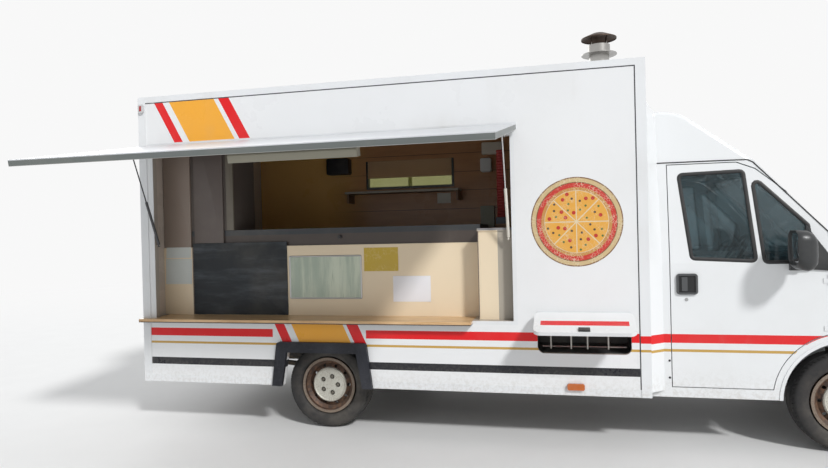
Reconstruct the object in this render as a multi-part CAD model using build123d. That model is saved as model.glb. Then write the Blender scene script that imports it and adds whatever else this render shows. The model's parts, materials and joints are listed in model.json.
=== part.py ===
from build123d import *
from math import atan2, cos, degrees, hypot, radians, sin, tan
import os

# Food truck: a long chassis cab of the 1990s with a kitchen box of sandwich
# panels, a serving hatch on two gas struts, a gas locker and a flue.
# Millimetres. X runs forwards from the rear axle, Y to the vehicle's left,
# and Z up from the ground. The serving side is the right side, at -Y.

os.makedirs("parts", exist_ok=True)

# Main sizes
WHEELBASE = 3700
BOX_REAR = -1580
BOX_HALF = 1075
BOX_TOP = 2725
CAB_ROOF = 2006
WAIST = 1290

# Wheels and axles
TYRE_RADIUS = 338
TYRE_WIDTH = 205
SHOULDER_DROP = 20
TREAD_HALF = 80
BEAD_HALF = 72
WHEEL_INSET = 110         # tyre's outer face, inwards of the box side
RIM_SEAT_RADIUS = 203
RIM_FLANGE_RADIUS = 221
RIM_WALL = 6
RIM_HALF = 84
DROP_RADIUS = 176
HAND_HOLES = 10
HAND_HOLE_RADIUS = 13
HAND_HOLE_CIRCLE = 154
CAP_RADIUS = 138
CAP_OUT = 58              # cap's face, outwards of the wheel's centre plane
CAP_BEAD = 6
NUTS = 5
NUT_CIRCLE = 68
NUT_RADIUS = 12
NUT_RECESS_RADIUS = 20
NUT_RECESS_DEPTH = 12
BRAKE_RADIUS = 128
BRAKE_DEPTH = 76
AXLE_TUBE_RADIUS = 34
KINGPIN_IN = 150.5        # kingpin, inwards of the tyre's centre plane
STRUT_RADIUS = 27
HUB_FACE = 14
ARM_TOP = 292
ARM_THICK = 34
CRADLE_THICK = 60
RUNNING_GAP = 0.3
MOVING_GAP = 6

# Frame under the body
RAIL_Y = 440
RAIL_WIDTH = 60
RAIL_BOTTOM = 450
RAIL_HEIGHT = 130
RAIL_WALL = 6
RAIL_REAR = BOX_REAR + 80
RAIL_FRONT = WHEELBASE + 550
CROSS_WIDTH = 70
CROSS_INSET = 12
CROSS_TABLE = [           # centre of each cross member along X
    RAIL_REAR + CROSS_WIDTH / 2, -720, 640, WHEELBASE - 2300, WHEELBASE - 1550, WHEELBASE - 800,
]
SPRING_HALF = 600
SPRING_RISE = 32
SPRING_THICK = 30
TOW_BOLT_Y = 160
TOW_BOLT_Z = 60
TOW_HOLE_RADIUS = 6.5
ENGINE_TOP = 930
ENGINE_HALF = 360
ENGINE_X = (WHEELBASE + 60, WHEELBASE + 470)
EXHAUST_Y = 210
EXHAUST_DROP = 102
PIPE_RADIUS = 26
TAIL_RADIUS = 24
TAIL_X = WHEELBASE - 2930
SILENCER_RADIUS = 92
SILENCER_X = (WHEELBASE - 2450, WHEELBASE - 1800)
TANK_X = (WHEELBASE - 2550, WHEELBASE - 1750)
TANK_GAP = 12

# Kitchen box
CAB_REAR = WHEELBASE - 1248
BOX_FRONT = CAB_REAR - 12
SIDE_BOTTOM = 412
SKIRT_BOTTOM = 358
WALL = 40
FLOOR_TOP = 650
FLOOR_THICK = 50
BEARER_WIDTH = 60
ROOF_THICK = 40
ARCH_TOP = 625
ARCH_TOP_HALF = 289
ARCH_LOW_HALF = 334
FLARE_BORDER = 82
FLARE_PROUD = 32
FLARE_ROUND = 26
WHEEL_BOX_TOP = 790
WHEEL_BOX_HALF = 420
SHEET = 5
CAP_RAIL = 42
RAIL_PROUD = 7
POST_WIDTH = 62
STRIP_PROUD = 3
REAR_LAMP_LEVELS = (500, 860)
MARKER_X = (BOX_FRONT - 568, BOX_FRONT - 448)
CLEARANCE_LAMP_DROP = 55

# Serving opening, its counter and its ledge
OPEN_REAR = BOX_REAR + 83
OPEN_FRONT = BOX_FRONT - 910
OPEN_BOTTOM = 858
OPEN_TOP = 2272
FRAME_WIDTH = 30
COUNTER_SETBACK = 235
COUNTER_PANEL = 18
COUNTER_TOP = 1462
WORKTOP_TOP = 1603
WORKTOP_THICK = 46
WORKTOP_DEPTH = 560
LEDGE_THICK = 27
LEDGE_OUT = 78
LEDGE_FRONT = OPEN_FRONT - 334
PILASTER_REAR = OPEN_FRONT - 294
PILASTER_DEPTH = 150
PILASTER_BACK = 90
PILASTER_TOP = 1548
PILASTER_CAP = 22

# Serving hatch, its hinge and its two gas struts
HINGE_Z = OPEN_TOP + 24
HINGE_OUT = 22
HATCH_REAR = OPEN_REAR - 10
HATCH_FRONT = OPEN_FRONT + 20
HATCH_FOOT_GAP = 11
HATCH_THICK = 42
HATCH_START = 12
HINGE_RADIUS = 7
HATCH_KNUCKLES = 9
HATCH_DROOP = 10.3
HATCH_LIGHT_X = (-12, 778)
HATCH_LIGHT_SIZE = (62, 54)
HATCH_LIGHT_AT = 1330
STRUT_FOOT_Z = 1490
STRUT_FOOT_IN = 26
STRUT_ALONG = 277
STRUT_BELOW = 46
STRUT_TUBE = 11
STRUT_ROD = 5
STRUT_TUBE_LENGTH = 390
STRUT_ENGAGED = 40
STRUT_X_GAP = 26
STRUT_EYE_HALF = 6

# Locker in the right side
LOCKER_REAR = BOX_FRONT - 772
LOCKER_FRONT = BOX_FRONT - 122
LOCKER_BOTTOM = FLOOR_TOP + 5
LOCKER_TOP = 930
LOCKER_DEPTH = 430
LOCKER_CORNER = 48
LOCKER_GROW = 16
LID_THICK = 26
LID_GROW = 14
LID_HINGE_OUT = 16
LID_BARREL = 6
LID_KNUCKLES = 5
LID_OPEN = 70

# Rear door, back window, units, oven and flue
DOOR_LOW_Y = -438
DOOR_HIGH_Y = 168
REAR_DOOR_TOP = 2315
DOOR_BARREL = 8
HINGE_HALF = 32
HINGE_LEAF = 42
REAR_HINGE_LEVELS = [850, 1480, 2110]
CAB_HINGE_LEVELS = [860, 1180]
WINDOW_REAR = -268
WINDOW_FRONT = 716
WINDOW_BOTTOM = 2022
WINDOW_TOP = 2332
UNIT_DEPTH = 480
UNIT_TOP = 1420
UNIT_BOARD = 20
SHELF_DEPTH = 240
REAR_UNIT_LENGTH = 520
REAR_UNIT_TOP = 1560
OVEN_DEPTH = 730
OVEN_WALL_GAP = 30
OVEN_REAR = BOX_FRONT - WALL - OVEN_WALL_GAP - OVEN_DEPTH
OVEN_HALF = 430
OVEN_MOUTH = (260, 560)   # above the oven's underside
OVEN_CHEEK = 90
OVEN_BOTTOM = 1000
OVEN_TOP = 1900
FLUE_X = BOX_FRONT - 250
FLUE_Y = 0
FLUE_RADIUS = 84
FLUE_WALL = 4
FLUE_FLANGE = 148
FLUE_DRUM = 92
FLUE_FLANGE_Z = BOX_TOP + 312
FLUE_DRUM_HEIGHT = 84
FLUE_CAP_Z = BOX_TOP + 452

# Cab, its places along X measured from the front axle
CAB_STEP = 90             # cab side, inwards of the box side
CAB_LEAN_IN = 67
CAB_WALL = 42
SILL_BOTTOM = 349
CAB_FLOOR_THICK = 34
FIREWALL = WHEELBASE + 20
FIREWALL_THICK = 30
SCREEN_BASE_X = WHEELBASE + 198
SCREEN_BASE_Z = WAIST
SCREEN_LEAN = 0.9
SCREEN_BOW = 115
NOSE_X = WHEELBASE + 820
NOSE_SIDE_X = WHEELBASE + 490
NOSE_TOP_X = WHEELBASE + 730
NOSE_TOP_Z = WAIST - 285
BONNET_BASE_Z = WAIST + 2
BUMPER_TOP = 640
BUMPER_BOTTOM = 318
BUMPER_PROUD = 48
ARCH_X = WHEELBASE + 6
ARCH_Z = TYRE_RADIUS + 8
ARCH_RADIUS = 408
ARCH_LIP = 22
ARCH_LIP_PROUD = 5
WELL_RADIUS = ARCH_RADIUS + 48
WELL_INNER_Y = RAIL_Y + RAIL_WIDTH + 40
DOOR_REAR_X = WHEELBASE - 1108
DOOR_FRONT_X = WHEELBASE - 102
DOOR_BOTTOM = SILL_BOTTOM + 71
DOOR_TOP = CAB_ROOF - 18
DOOR_THICK = 58
GLASS = 5
MAIN_WINDOW = [
    (DOOR_REAR_X + 146, WAIST + 32), (DOOR_REAR_X + 558, WAIST + 10), (DOOR_REAR_X + 498, DOOR_TOP - 63),
    (DOOR_REAR_X + 76, DOOR_TOP - 73),
]
QUARTER_WINDOW = [
    (DOOR_FRONT_X - 396, WAIST + 2), (DOOR_FRONT_X - 93, WAIST + 2), (DOOR_FRONT_X - 120, WAIST + 250),
    (DOOR_FRONT_X - 456, DOOR_TOP - 96),
]
WINDOW_ROUND = 26
HANDLE_X = (DOOR_REAR_X + 40, DOOR_REAR_X + 180)
HANDLE_Z = (WAIST - 218, WAIST - 72)
MIRROR_X = DOOR_FRONT_X - 268
MIRROR_SIZE = (70, 200, 210)  # along X, Y and Z
MIRROR_OUT = 90               # gap from the door to the housing
BONNET_REAR_X = WHEELBASE + 275
BONNET_HALF = 800
BONNET_TAPER = 70
BONNET_THICK = 16
BONNET_BARREL = 5
BONNET_HINGE_Y = 560
BONNET_LEAF = 30
GRILLE_HALF = 440
GRILLE_LOW = 690
GRILLE_HIGH = 900
GRILLE_SLATS = 5
LAMP_OUT = 900
LAMP_GAP = 30
LAMP_DEPTH = 330
INDICATOR_Y = 770
FAIRING_TOP = CAB_ROOF + 375
FAIRING_WALL = 8
FAIRING_SLOPE = 38        # degrees from level, down the front
FAIRING_CREST = 330       # radius between the flat top and the slope
FAIRING_TAPER = 42
FAIRING_ROUND = 36
COLUMN_FRONT = CAB_REAR + 88
COLUMN_LIP = 4
COLUMN_BOTTOM = 395
COVE_RISE = 52

# Inside the cab
DRIVER_SEAT_Y = (180, 680)
BENCH_SEAT_Y = (-700, -60)
SEAT_X = (CAB_REAR + 288, CAB_REAR + 788)
CUSHION_Z = (255, 400)    # above the cab floor
STEERING_RADIUS = 190
STEERING_GRIP = 15
STEERING_TILT = 58
DASH_GAP = 40

# Sizes that follow from those above

WHEEL_FACE_Y = BOX_HALF - WHEEL_INSET
WHEEL_Y = WHEEL_FACE_Y - TYRE_WIDTH / 2
KINGPIN_Y = WHEEL_Y - KINGPIN_IN
HUB_SEAT_Y = WHEEL_Y + HUB_FACE - RUNNING_GAP
RAIL_TOP = RAIL_BOTTOM + RAIL_HEIGHT
CAB_HALF = BOX_HALF - CAB_STEP
CAB_ROOF_HALF = CAB_HALF - CAB_LEAN_IN
CAB_FLOOR = RAIL_TOP + CAB_FLOOR_THICK
FLOOR_LOW = FLOOR_TOP - FLOOR_THICK
COUNTER_Y = -BOX_HALF + COUNTER_SETBACK
LEDGE_TOP = OPEN_BOTTOM + LEDGE_THICK
CRADLE_LOW = ARM_TOP - ARM_THICK
HATCH_SWING = 90 - HATCH_DROOP
HATCH_LENGTH = HINGE_Z - HATCH_START - LEDGE_TOP - HATCH_FOOT_GAP
HINGE_Y = -BOX_HALF - HINGE_OUT
HATCH_INNER = HINGE_OUT - MOVING_GAP     # inner face of the hatch, inwards of the hinge axis
STRUT_REAR_X = OPEN_REAR + FRAME_WIDTH + STRUT_X_GAP
STRUT_FRONT_X = OPEN_FRONT - FRAME_WIDTH - STRUT_X_GAP
STRUT_TOP = ARCH_Z + WELL_RADIUS - 14
LID_HINGE_Y = -BOX_HALF - LID_HINGE_OUT
LID_HINGE_Z = LOCKER_TOP + LID_GROW + 2
REAR_HINGE_X = BOX_REAR - DOOR_BARREL - 0.5
CAB_HINGE_Y = -CAB_HALF - DOOR_BARREL - 0.5
SEAT_Y = (DRIVER_SEAT_Y, BENCH_SEAT_Y)
DRIVER_Y = (DRIVER_SEAT_Y[0] + DRIVER_SEAT_Y[1]) / 2
LEAN = hypot(1, SCREEN_LEAN)
SCREEN_TOP_X = SCREEN_BASE_X - SCREEN_LEAN * (CAB_ROOF - SCREEN_BASE_Z)
BOW_RADIUS = (CAB_HALF ** 2 + SCREEN_BOW ** 2) / (2 * SCREEN_BOW)
BONNET_SLOPE = (BONNET_BASE_Z - NOSE_TOP_Z) / (NOSE_TOP_X - SCREEN_BASE_X)
BONNET_HINGE_Z = BONNET_BASE_Z - BONNET_SLOPE * (BONNET_REAR_X - SCREEN_BASE_X) + BONNET_BARREL + 2


# Small makers of solids

def slab(x, y, z):
    """Block between two values along each axis."""
    size = (x[1] - x[0], y[1] - y[0], z[1] - z[0])
    centre = ((x[0] + x[1]) / 2, (y[0] + y[1]) / 2, (z[0] + z[1]) / 2)
    return Pos(*centre) * Box(*size)


def side_prism(points, y):
    """Outline in X and Z, drawn through the width between two Y values."""
    face = make_face(Polyline(*points, close=True))
    return Pos(0, y[1], 0) * extrude(Plane.XZ * face, amount=y[1] - y[0])


def front_prism(points, x):
    """Outline in Y and Z, drawn along the vehicle between two X values."""
    face = make_face(Polyline(*points, close=True))
    return Pos(x[0], 0, 0) * extrude(Plane.YZ * face, amount=x[1] - x[0])


def plan_prism(points, z):
    """Outline in X and Y, drawn upwards between two Z values."""
    face = make_face(Polyline(*points, close=True))
    return Pos(0, 0, z[0]) * extrude(face, amount=z[1] - z[0])


def rod_y(radius, x, y, z):
    """Round bar along Y between two Y values."""
    return Pos(x, (y[0] + y[1]) / 2, z) * Rot(90, 0, 0) * Cylinder(radius, y[1] - y[0])


def rod_x(radius, x, y, z):
    """Round bar along X between two X values."""
    return Pos((x[0] + x[1]) / 2, y, z) * Rot(0, 90, 0) * Cylinder(radius, x[1] - x[0])


def rod_z(radius, x, y, z):
    """Round bar along Z between two Z values."""
    return Pos(x, y, (z[0] + z[1]) / 2) * Cylinder(radius, z[1] - z[0])


def upright_edges(shape, radius):
    """Round the corner edges of a panel that run along Y."""
    return fillet(shape.edges().filter_by(Axis.Y), radius)


def mirrored(shape):
    """The same shape on the vehicle's other side."""
    return mirror(shape, about=Plane.XZ)


def both_sides(shape):
    """Right and left pieces together, not touching."""
    return Compound(children=[shape, mirrored(shape)])


def save(name, shape):
    """Write one sub-part."""
    export_step(shape, "parts/" + name + ".step")


# Wheels: a tyre, and a pressed steel rim with hand holes, nuts and a cap


def tyre(x):
    """Right tyre: one band from its beads out to the shoulders and the tread."""
    half = TYRE_WIDTH / 2
    shoulder = TYRE_RADIUS - SHOULDER_DROP
    outline = [
        (RIM_SEAT_RADIUS, -BEAD_HALF), (shoulder, -half), (TYRE_RADIUS, -TREAD_HALF),
        (TYRE_RADIUS, TREAD_HALF), (shoulder, half), (RIM_SEAT_RADIUS, BEAD_HALF),
    ]
    band = revolve(make_face(Polyline(*outline, close=True)), Axis.Y)
    return Pos(x, -WHEEL_Y, TYRE_RADIUS) * band


def rim(x):
    """Right rim: barrel with a drop centre, pressed disc, hand holes, and a cap round the nuts."""
    seat = RIM_SEAT_RADIUS
    bore = seat - RIM_WALL
    drop = DROP_RADIUS - RIM_WALL
    face = -HUB_FACE
    wall_slope = (TYRE_WIDTH / 2 - BEAD_HALF) / (TYRE_RADIUS - SHOULDER_DROP - seat)
    root = BEAD_HALF + RUNNING_GAP
    lip = root + (RIM_FLANGE_RADIUS - seat) * wall_slope
    outline = [
        (RIM_FLANGE_RADIUS, -RIM_HALF), (RIM_FLANGE_RADIUS, -lip), (seat, -root), (seat, -52),
        (DROP_RADIUS, -36), (DROP_RADIUS, 30), (seat, 46), (seat, root), (RIM_FLANGE_RADIUS, lip),
        (RIM_FLANGE_RADIUS, RIM_HALF), (bore, RIM_HALF), (bore, 50), (drop, 34),
        (drop, face - 2), (CAP_RADIUS + 2, face - 20), (104, face - 10), (94, face), (0, face),
        (0, -CAP_OUT), (CAP_RADIUS - 16, -CAP_OUT), (CAP_RADIUS - 8, -CAP_OUT - CAP_BEAD),
        (CAP_RADIUS, -CAP_OUT), (CAP_RADIUS, -46), (drop, -30), (drop, -40), (bore, -58), (bore, -RIM_HALF),
    ]
    body = revolve(make_face(Polyline(*outline, close=True)), Axis.Y)
    for number in range(HAND_HOLES):
        hole = Pos(HAND_HOLE_CIRCLE, -36, 0) * Rot(90, 0, 0) * Cylinder(HAND_HOLE_RADIUS, 60)
        body -= Rot(0, number * 360 / HAND_HOLES, 0) * hole
    floor = Pos(NUT_CIRCLE, -CAP_OUT + NUT_RECESS_DEPTH, 0) * Rot(90, 0, 0)
    recess = floor * Pos(0, 0, NUT_RECESS_DEPTH) * Cylinder(NUT_RECESS_RADIUS, 2 * NUT_RECESS_DEPTH)
    nut = floor * extrude(RegularPolygon(NUT_RADIUS, 6), NUT_RECESS_DEPTH - 2, both=True)
    for number in range(NUTS):
        turn = Rot(0, number * 360 / NUTS, 0)
        body = body - turn * recess + turn * nut
    return Pos(x, -WHEEL_Y, TYRE_RADIUS) * body


# Front hubs: the knuckle turns about the kingpin and carries its strut

def knuckle():
    """Right steering knuckle with its brake, hub, strut tube and top mount."""
    x = WHEELBASE
    upright = slab((x - 42, x + 42), (-HUB_SEAT_Y + 70, -KINGPIN_Y + 24), (ARM_TOP + 8, TYRE_RADIUS + 110))
    brake = rod_y(BRAKE_RADIUS, x, (-HUB_SEAT_Y, -HUB_SEAT_Y + BRAKE_DEPTH), TYRE_RADIUS)
    strut = rod_z(STRUT_RADIUS, x, -KINGPIN_Y, (ARM_TOP + RUNNING_GAP, STRUT_TOP - 20))
    mount = rod_z(58, x, -KINGPIN_Y, (STRUT_TOP - 22, STRUT_TOP))
    steer_arm = slab((x - 150, x - 30), (-KINGPIN_Y - 14, -KINGPIN_Y + 14),
                     (TYRE_RADIUS - 12, TYRE_RADIUS + 12))
    return upright + brake + strut + mount + steer_arm


def front_subframe():
    """Cross cradle under the engine with a lower arm out to each knuckle."""
    x = WHEELBASE
    low = CRADLE_LOW
    high = low + CRADLE_THICK
    cradle = slab((x - 160, x + 420), (-RAIL_Y - RAIL_WIDTH, RAIL_Y + RAIL_WIDTH), (low, high))
    cradle -= slab((x - 40, x + 330), (-330, 330), (low - 1, high + 1))
    right = side_prism([(x - 150, low), (x + 150, low), (x + 150, ARM_TOP), (x - 150, ARM_TOP)],
                       (-RAIL_Y - RAIL_WIDTH, -RAIL_Y - RAIL_WIDTH + 40))
    arm = plan_prism([(x - 140, -RAIL_Y - 20), (x + 140, -RAIL_Y - 20), (x + 34, -KINGPIN_Y - 30),
                      (x - 34, -KINGPIN_Y - 30)], (low, ARM_TOP))
    tower = slab((x - 160, x - 80), (-RAIL_Y - RAIL_WIDTH, -RAIL_Y), (high - 1, RAIL_BOTTOM))
    tower += slab((x + 340, x + 420), (-RAIL_Y - RAIL_WIDTH, -RAIL_Y), (high - 1, RAIL_BOTTOM))
    half = right + arm + tower
    return cradle + half + mirrored(half)


def rear_axle():
    """Dead beam with drums and two leaf springs that hang from the rails."""
    beam = rod_y(AXLE_TUBE_RADIUS, 0, (-WHEEL_Y + 40, WHEEL_Y - 40), TYRE_RADIUS)
    drum = rod_y(BRAKE_RADIUS, 0, (-HUB_SEAT_Y, -HUB_SEAT_Y + BRAKE_DEPTH), TYRE_RADIUS)
    y = -RAIL_Y - RAIL_WIDTH / 2
    low = TYRE_RADIUS + AXLE_TUBE_RADIUS - 2
    top = low + SPRING_THICK
    outline = [
        ThreePointArc((-SPRING_HALF, low + SPRING_RISE), (0, low), (SPRING_HALF, low + SPRING_RISE)),
        Line((SPRING_HALF, low + SPRING_RISE), (SPRING_HALF, top + SPRING_RISE)),
        ThreePointArc((SPRING_HALF, top + SPRING_RISE), (0, top), (-SPRING_HALF, top + SPRING_RISE)),
        Line((-SPRING_HALF, top + SPRING_RISE), (-SPRING_HALF, low + SPRING_RISE)),
    ]
    leaf = Pos(0, y + RAIL_WIDTH / 2, 0) * extrude(Plane.XZ * make_face(outline), amount=RAIL_WIDTH)
    saddle = slab((-70, 70), (y - 38, y + 38), (TYRE_RADIUS - 50, top + 22))
    half = drum + leaf + saddle
    for end in (-1, 1):
        x = end * (SPRING_HALF + 4)
        half += slab((x - 26, x + 26), (y - RAIL_WIDTH / 2, y + RAIL_WIDTH / 2),
                     (low + SPRING_RISE, RAIL_BOTTOM))
    return beam + half + mirrored(half)


def chassis_frame():
    """Ladder frame: two channel rails and their cross members."""
    top = RAIL_BOTTOM + RAIL_HEIGHT
    rail = slab((RAIL_REAR, RAIL_FRONT), (-RAIL_Y - RAIL_WIDTH, -RAIL_Y), (RAIL_BOTTOM, top))
    rail -= slab((RAIL_REAR - 1, RAIL_FRONT + 1), (-RAIL_Y - RAIL_WIDTH + RAIL_WALL, -RAIL_Y + 1),
                 (RAIL_BOTTOM + RAIL_WALL, top - RAIL_WALL))
    frame = rail + mirrored(rail)
    low = RAIL_BOTTOM + CROSS_INSET
    high = top - CROSS_INSET
    reach = RAIL_Y + RAIL_WIDTH - RAIL_WALL
    for x in CROSS_TABLE:
        frame += slab((x - CROSS_WIDTH / 2, x + CROSS_WIDTH / 2), (-reach, reach), (low, high))
    front = RAIL_FRONT - CROSS_WIDTH
    frame += slab((front, RAIL_FRONT), (-reach, reach), (low, high))
    middle = (low + high) / 2
    rear = CROSS_TABLE[0]
    for side in (-1, 1):
        for level in (-1, 1):
            y = side * TOW_BOLT_Y / 2
            z = middle + level * TOW_BOLT_Z / 2
            frame -= rod_x(TOW_HOLE_RADIUS, (rear - CROSS_WIDTH, rear + CROSS_WIDTH), y, z)
    return frame


def engine_block():
    """Engine and gearbox as one mass on the cradle, across the vehicle."""
    block = slab(ENGINE_X, (-ENGINE_HALF, ENGINE_HALF), (CRADLE_LOW + CRADLE_THICK, ENGINE_TOP))
    return fillet(block.edges().filter_by(Axis.X), 40)


def exhaust():
    """Pipe from the engine to a silencer, and a tail ahead of the left rear wheel."""
    y = EXHAUST_Y
    z = RAIL_BOTTOM - EXHAUST_DROP
    pipe = rod_x(PIPE_RADIUS, (SILENCER_X[1] - 50, WHEELBASE - 200), y, z)
    pipe += rod_x(TAIL_RADIUS, (TAIL_X - 10, SILENCER_X[0] + 50), y, z)
    silencer = rod_x(SILENCER_RADIUS, SILENCER_X, y, z)
    tail = rod_y(TAIL_RADIUS, TAIL_X, (y - 10, BOX_HALF - 60), z)
    hung = CROSS_TABLE[3]
    hanger = slab((hung - 11, hung + 11), (y - 10, y + 10), (z + 60, RAIL_BOTTOM + CROSS_INSET))
    return pipe + silencer + tail + hanger


def fuel_tank():
    """Tank under the floor on the left, between rail and skirt."""
    y = (RAIL_Y + RAIL_WIDTH + TANK_GAP, BOX_HALF - 90)
    tank = slab(TANK_X, y, (SKIRT_BOTTOM + 20, RAIL_TOP))
    return fillet(tank.edges().filter_by(Axis.X), 35)


# Hinge lines: knuckles that alternate between the two leaves

def spans(x, count, own, gap=RUNNING_GAP):
    """Stretches of a hinge line that one leaf owns, with a gap at each end."""
    step = (x[1] - x[0]) / count
    return [(x[0] + n * step + gap / 2, x[0] + (n + 1) * step - gap / 2) for n in range(own, count, 2)]


def hinge_spans(own):
    """Hatch hinge: own 0 for the wall's knuckles and 1 for the hatch's."""
    return spans((HATCH_REAR, HATCH_FRONT), HATCH_KNUCKLES, own)


def lid_spans(own):
    """Locker hinge: own 0 for the wall's knuckles and 1 for the lid's."""
    return spans((LOCKER_REAR + 40, LOCKER_FRONT - 40), LID_KNUCKLES, own)


def hinge_pair(x, y, z, radius, leaf, own):
    """Upright hinge barrel: the lower half for the door, the upper for the body."""
    level = (z - HINGE_HALF, z - RUNNING_GAP / 2) if own else (z + RUNNING_GAP / 2, z + HINGE_HALF)
    return rod_z(radius, x, y, level) + slab(leaf[0], leaf[1], level)


# Kitchen box: floor, roof, four walls, trims and arches


def arch_outline(border):
    """Straight-sided wheel arch about the rear axle, grown by a border."""
    low = SKIRT_BOTTOM - 1
    return [
        (-ARCH_LOW_HALF - border, low), (-ARCH_TOP_HALF - border, ARCH_TOP + border),
        (ARCH_TOP_HALF + border, ARCH_TOP + border), (ARCH_LOW_HALF + border, low),
    ]


def box_side():
    """Right side panel before its openings are cut."""
    panel = slab((BOX_REAR, BOX_FRONT), (-BOX_HALF, -BOX_HALF + WALL), (SKIRT_BOTTOM, BOX_TOP - ROOF_THICK))
    return panel - side_prism(arch_outline(0), (-BOX_HALF - 1, -BOX_HALF + WALL + 1))


def box_side_right():
    """Serving side: the hatch opening and the locker opening."""
    cut = (-BOX_HALF - 1, -BOX_HALF + WALL + 1)
    opening = slab((OPEN_REAR, OPEN_FRONT), cut, (OPEN_BOTTOM, OPEN_TOP))
    locker = slab((LOCKER_REAR, LOCKER_FRONT), cut, (LOCKER_BOTTOM, LOCKER_TOP))
    return box_side() - opening - upright_edges(locker, LOCKER_CORNER)


def box_side_left():
    """Far side: one long window."""
    cut = (BOX_HALF - WALL - 1, BOX_HALF + 1)
    return mirrored(box_side()) - slab((WINDOW_REAR, WINDOW_FRONT), cut, (WINDOW_BOTTOM, WINDOW_TOP))


def back_window():
    """Two sliding panes in a frame, with a drip bar below."""
    frame = slab((WINDOW_REAR, WINDOW_FRONT), (BOX_HALF - WALL - 8, BOX_HALF + 6), (WINDOW_BOTTOM, WINDOW_TOP))
    frame -= slab((WINDOW_REAR + 26, WINDOW_FRONT - 26), (0, BOX_HALF + 10),
                  (WINDOW_BOTTOM + 26, WINDOW_TOP - 26))
    middle = (WINDOW_REAR + WINDOW_FRONT) / 2
    for x0, x1, y in ((WINDOW_REAR + 26, middle + 20, 8), (middle - 20, WINDOW_FRONT - 26, 20)):
        frame += slab((x0, x1), (BOX_HALF - y - GLASS, BOX_HALF - y), (WINDOW_BOTTOM + 26, WINDOW_TOP - 26))
    return frame


def box_front_wall():
    """Bulkhead behind the cab."""
    inner = BOX_HALF - WALL
    return slab((BOX_FRONT - WALL, BOX_FRONT), (-inner, inner), (FLOOR_LOW, BOX_TOP - ROOF_THICK))


def box_rear_wall():
    """Rear wall with the opening for the staff door."""
    inner = BOX_HALF - WALL
    wall = slab((BOX_REAR, BOX_REAR + WALL), (-inner, inner), (FLOOR_LOW, BOX_TOP - ROOF_THICK))
    wall -= slab((BOX_REAR - 1, BOX_REAR + WALL + 1), (DOOR_LOW_Y, DOOR_HIGH_Y), (FLOOR_TOP, REAR_DOOR_TOP))
    plate = ((BOX_REAR - 5, BOX_REAR), (DOOR_HIGH_Y, DOOR_HIGH_Y + HINGE_LEAF))
    for z in REAR_HINGE_LEVELS:
        wall += hinge_pair(REAR_HINGE_X, DOOR_HIGH_Y, z, DOOR_BARREL, plate, 0)
    return wall


def box_roof():
    """Roof panel with the hole for the flue."""
    roof = slab((BOX_REAR, BOX_FRONT), (-BOX_HALF, BOX_HALF), (BOX_TOP - ROOF_THICK, BOX_TOP))
    return roof - rod_z(FLUE_RADIUS + 10, FLUE_X, FLUE_Y, (BOX_TOP - ROOF_THICK - 1, BOX_TOP + 1))


def box_floor():
    """Floor panel on cross bearers, with a closed steel box over each rear wheel."""
    inner = BOX_HALF - WALL
    low = FLOOR_LOW
    floor = slab((BOX_REAR + WALL, BOX_FRONT - WALL), (-inner, inner), (low, FLOOR_TOP))
    for x in CROSS_TABLE[:-1]:
        floor += slab((x - BEARER_WIDTH / 2, x + BEARER_WIDTH / 2), (-inner, inner), (RAIL_TOP, low))
    well_in = WHEEL_FACE_Y - TYRE_WIDTH - 30
    outer = slab((-WHEEL_BOX_HALF, WHEEL_BOX_HALF), (-inner, -well_in), (low, WHEEL_BOX_TOP))
    hollow = slab((-WHEEL_BOX_HALF + SHEET, WHEEL_BOX_HALF - SHEET), (-inner - 1, -well_in - SHEET),
                  (low - 1, WHEEL_BOX_TOP - SHEET))
    floor = floor + outer + mirrored(outer)
    return floor - hollow - mirrored(hollow)


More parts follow.
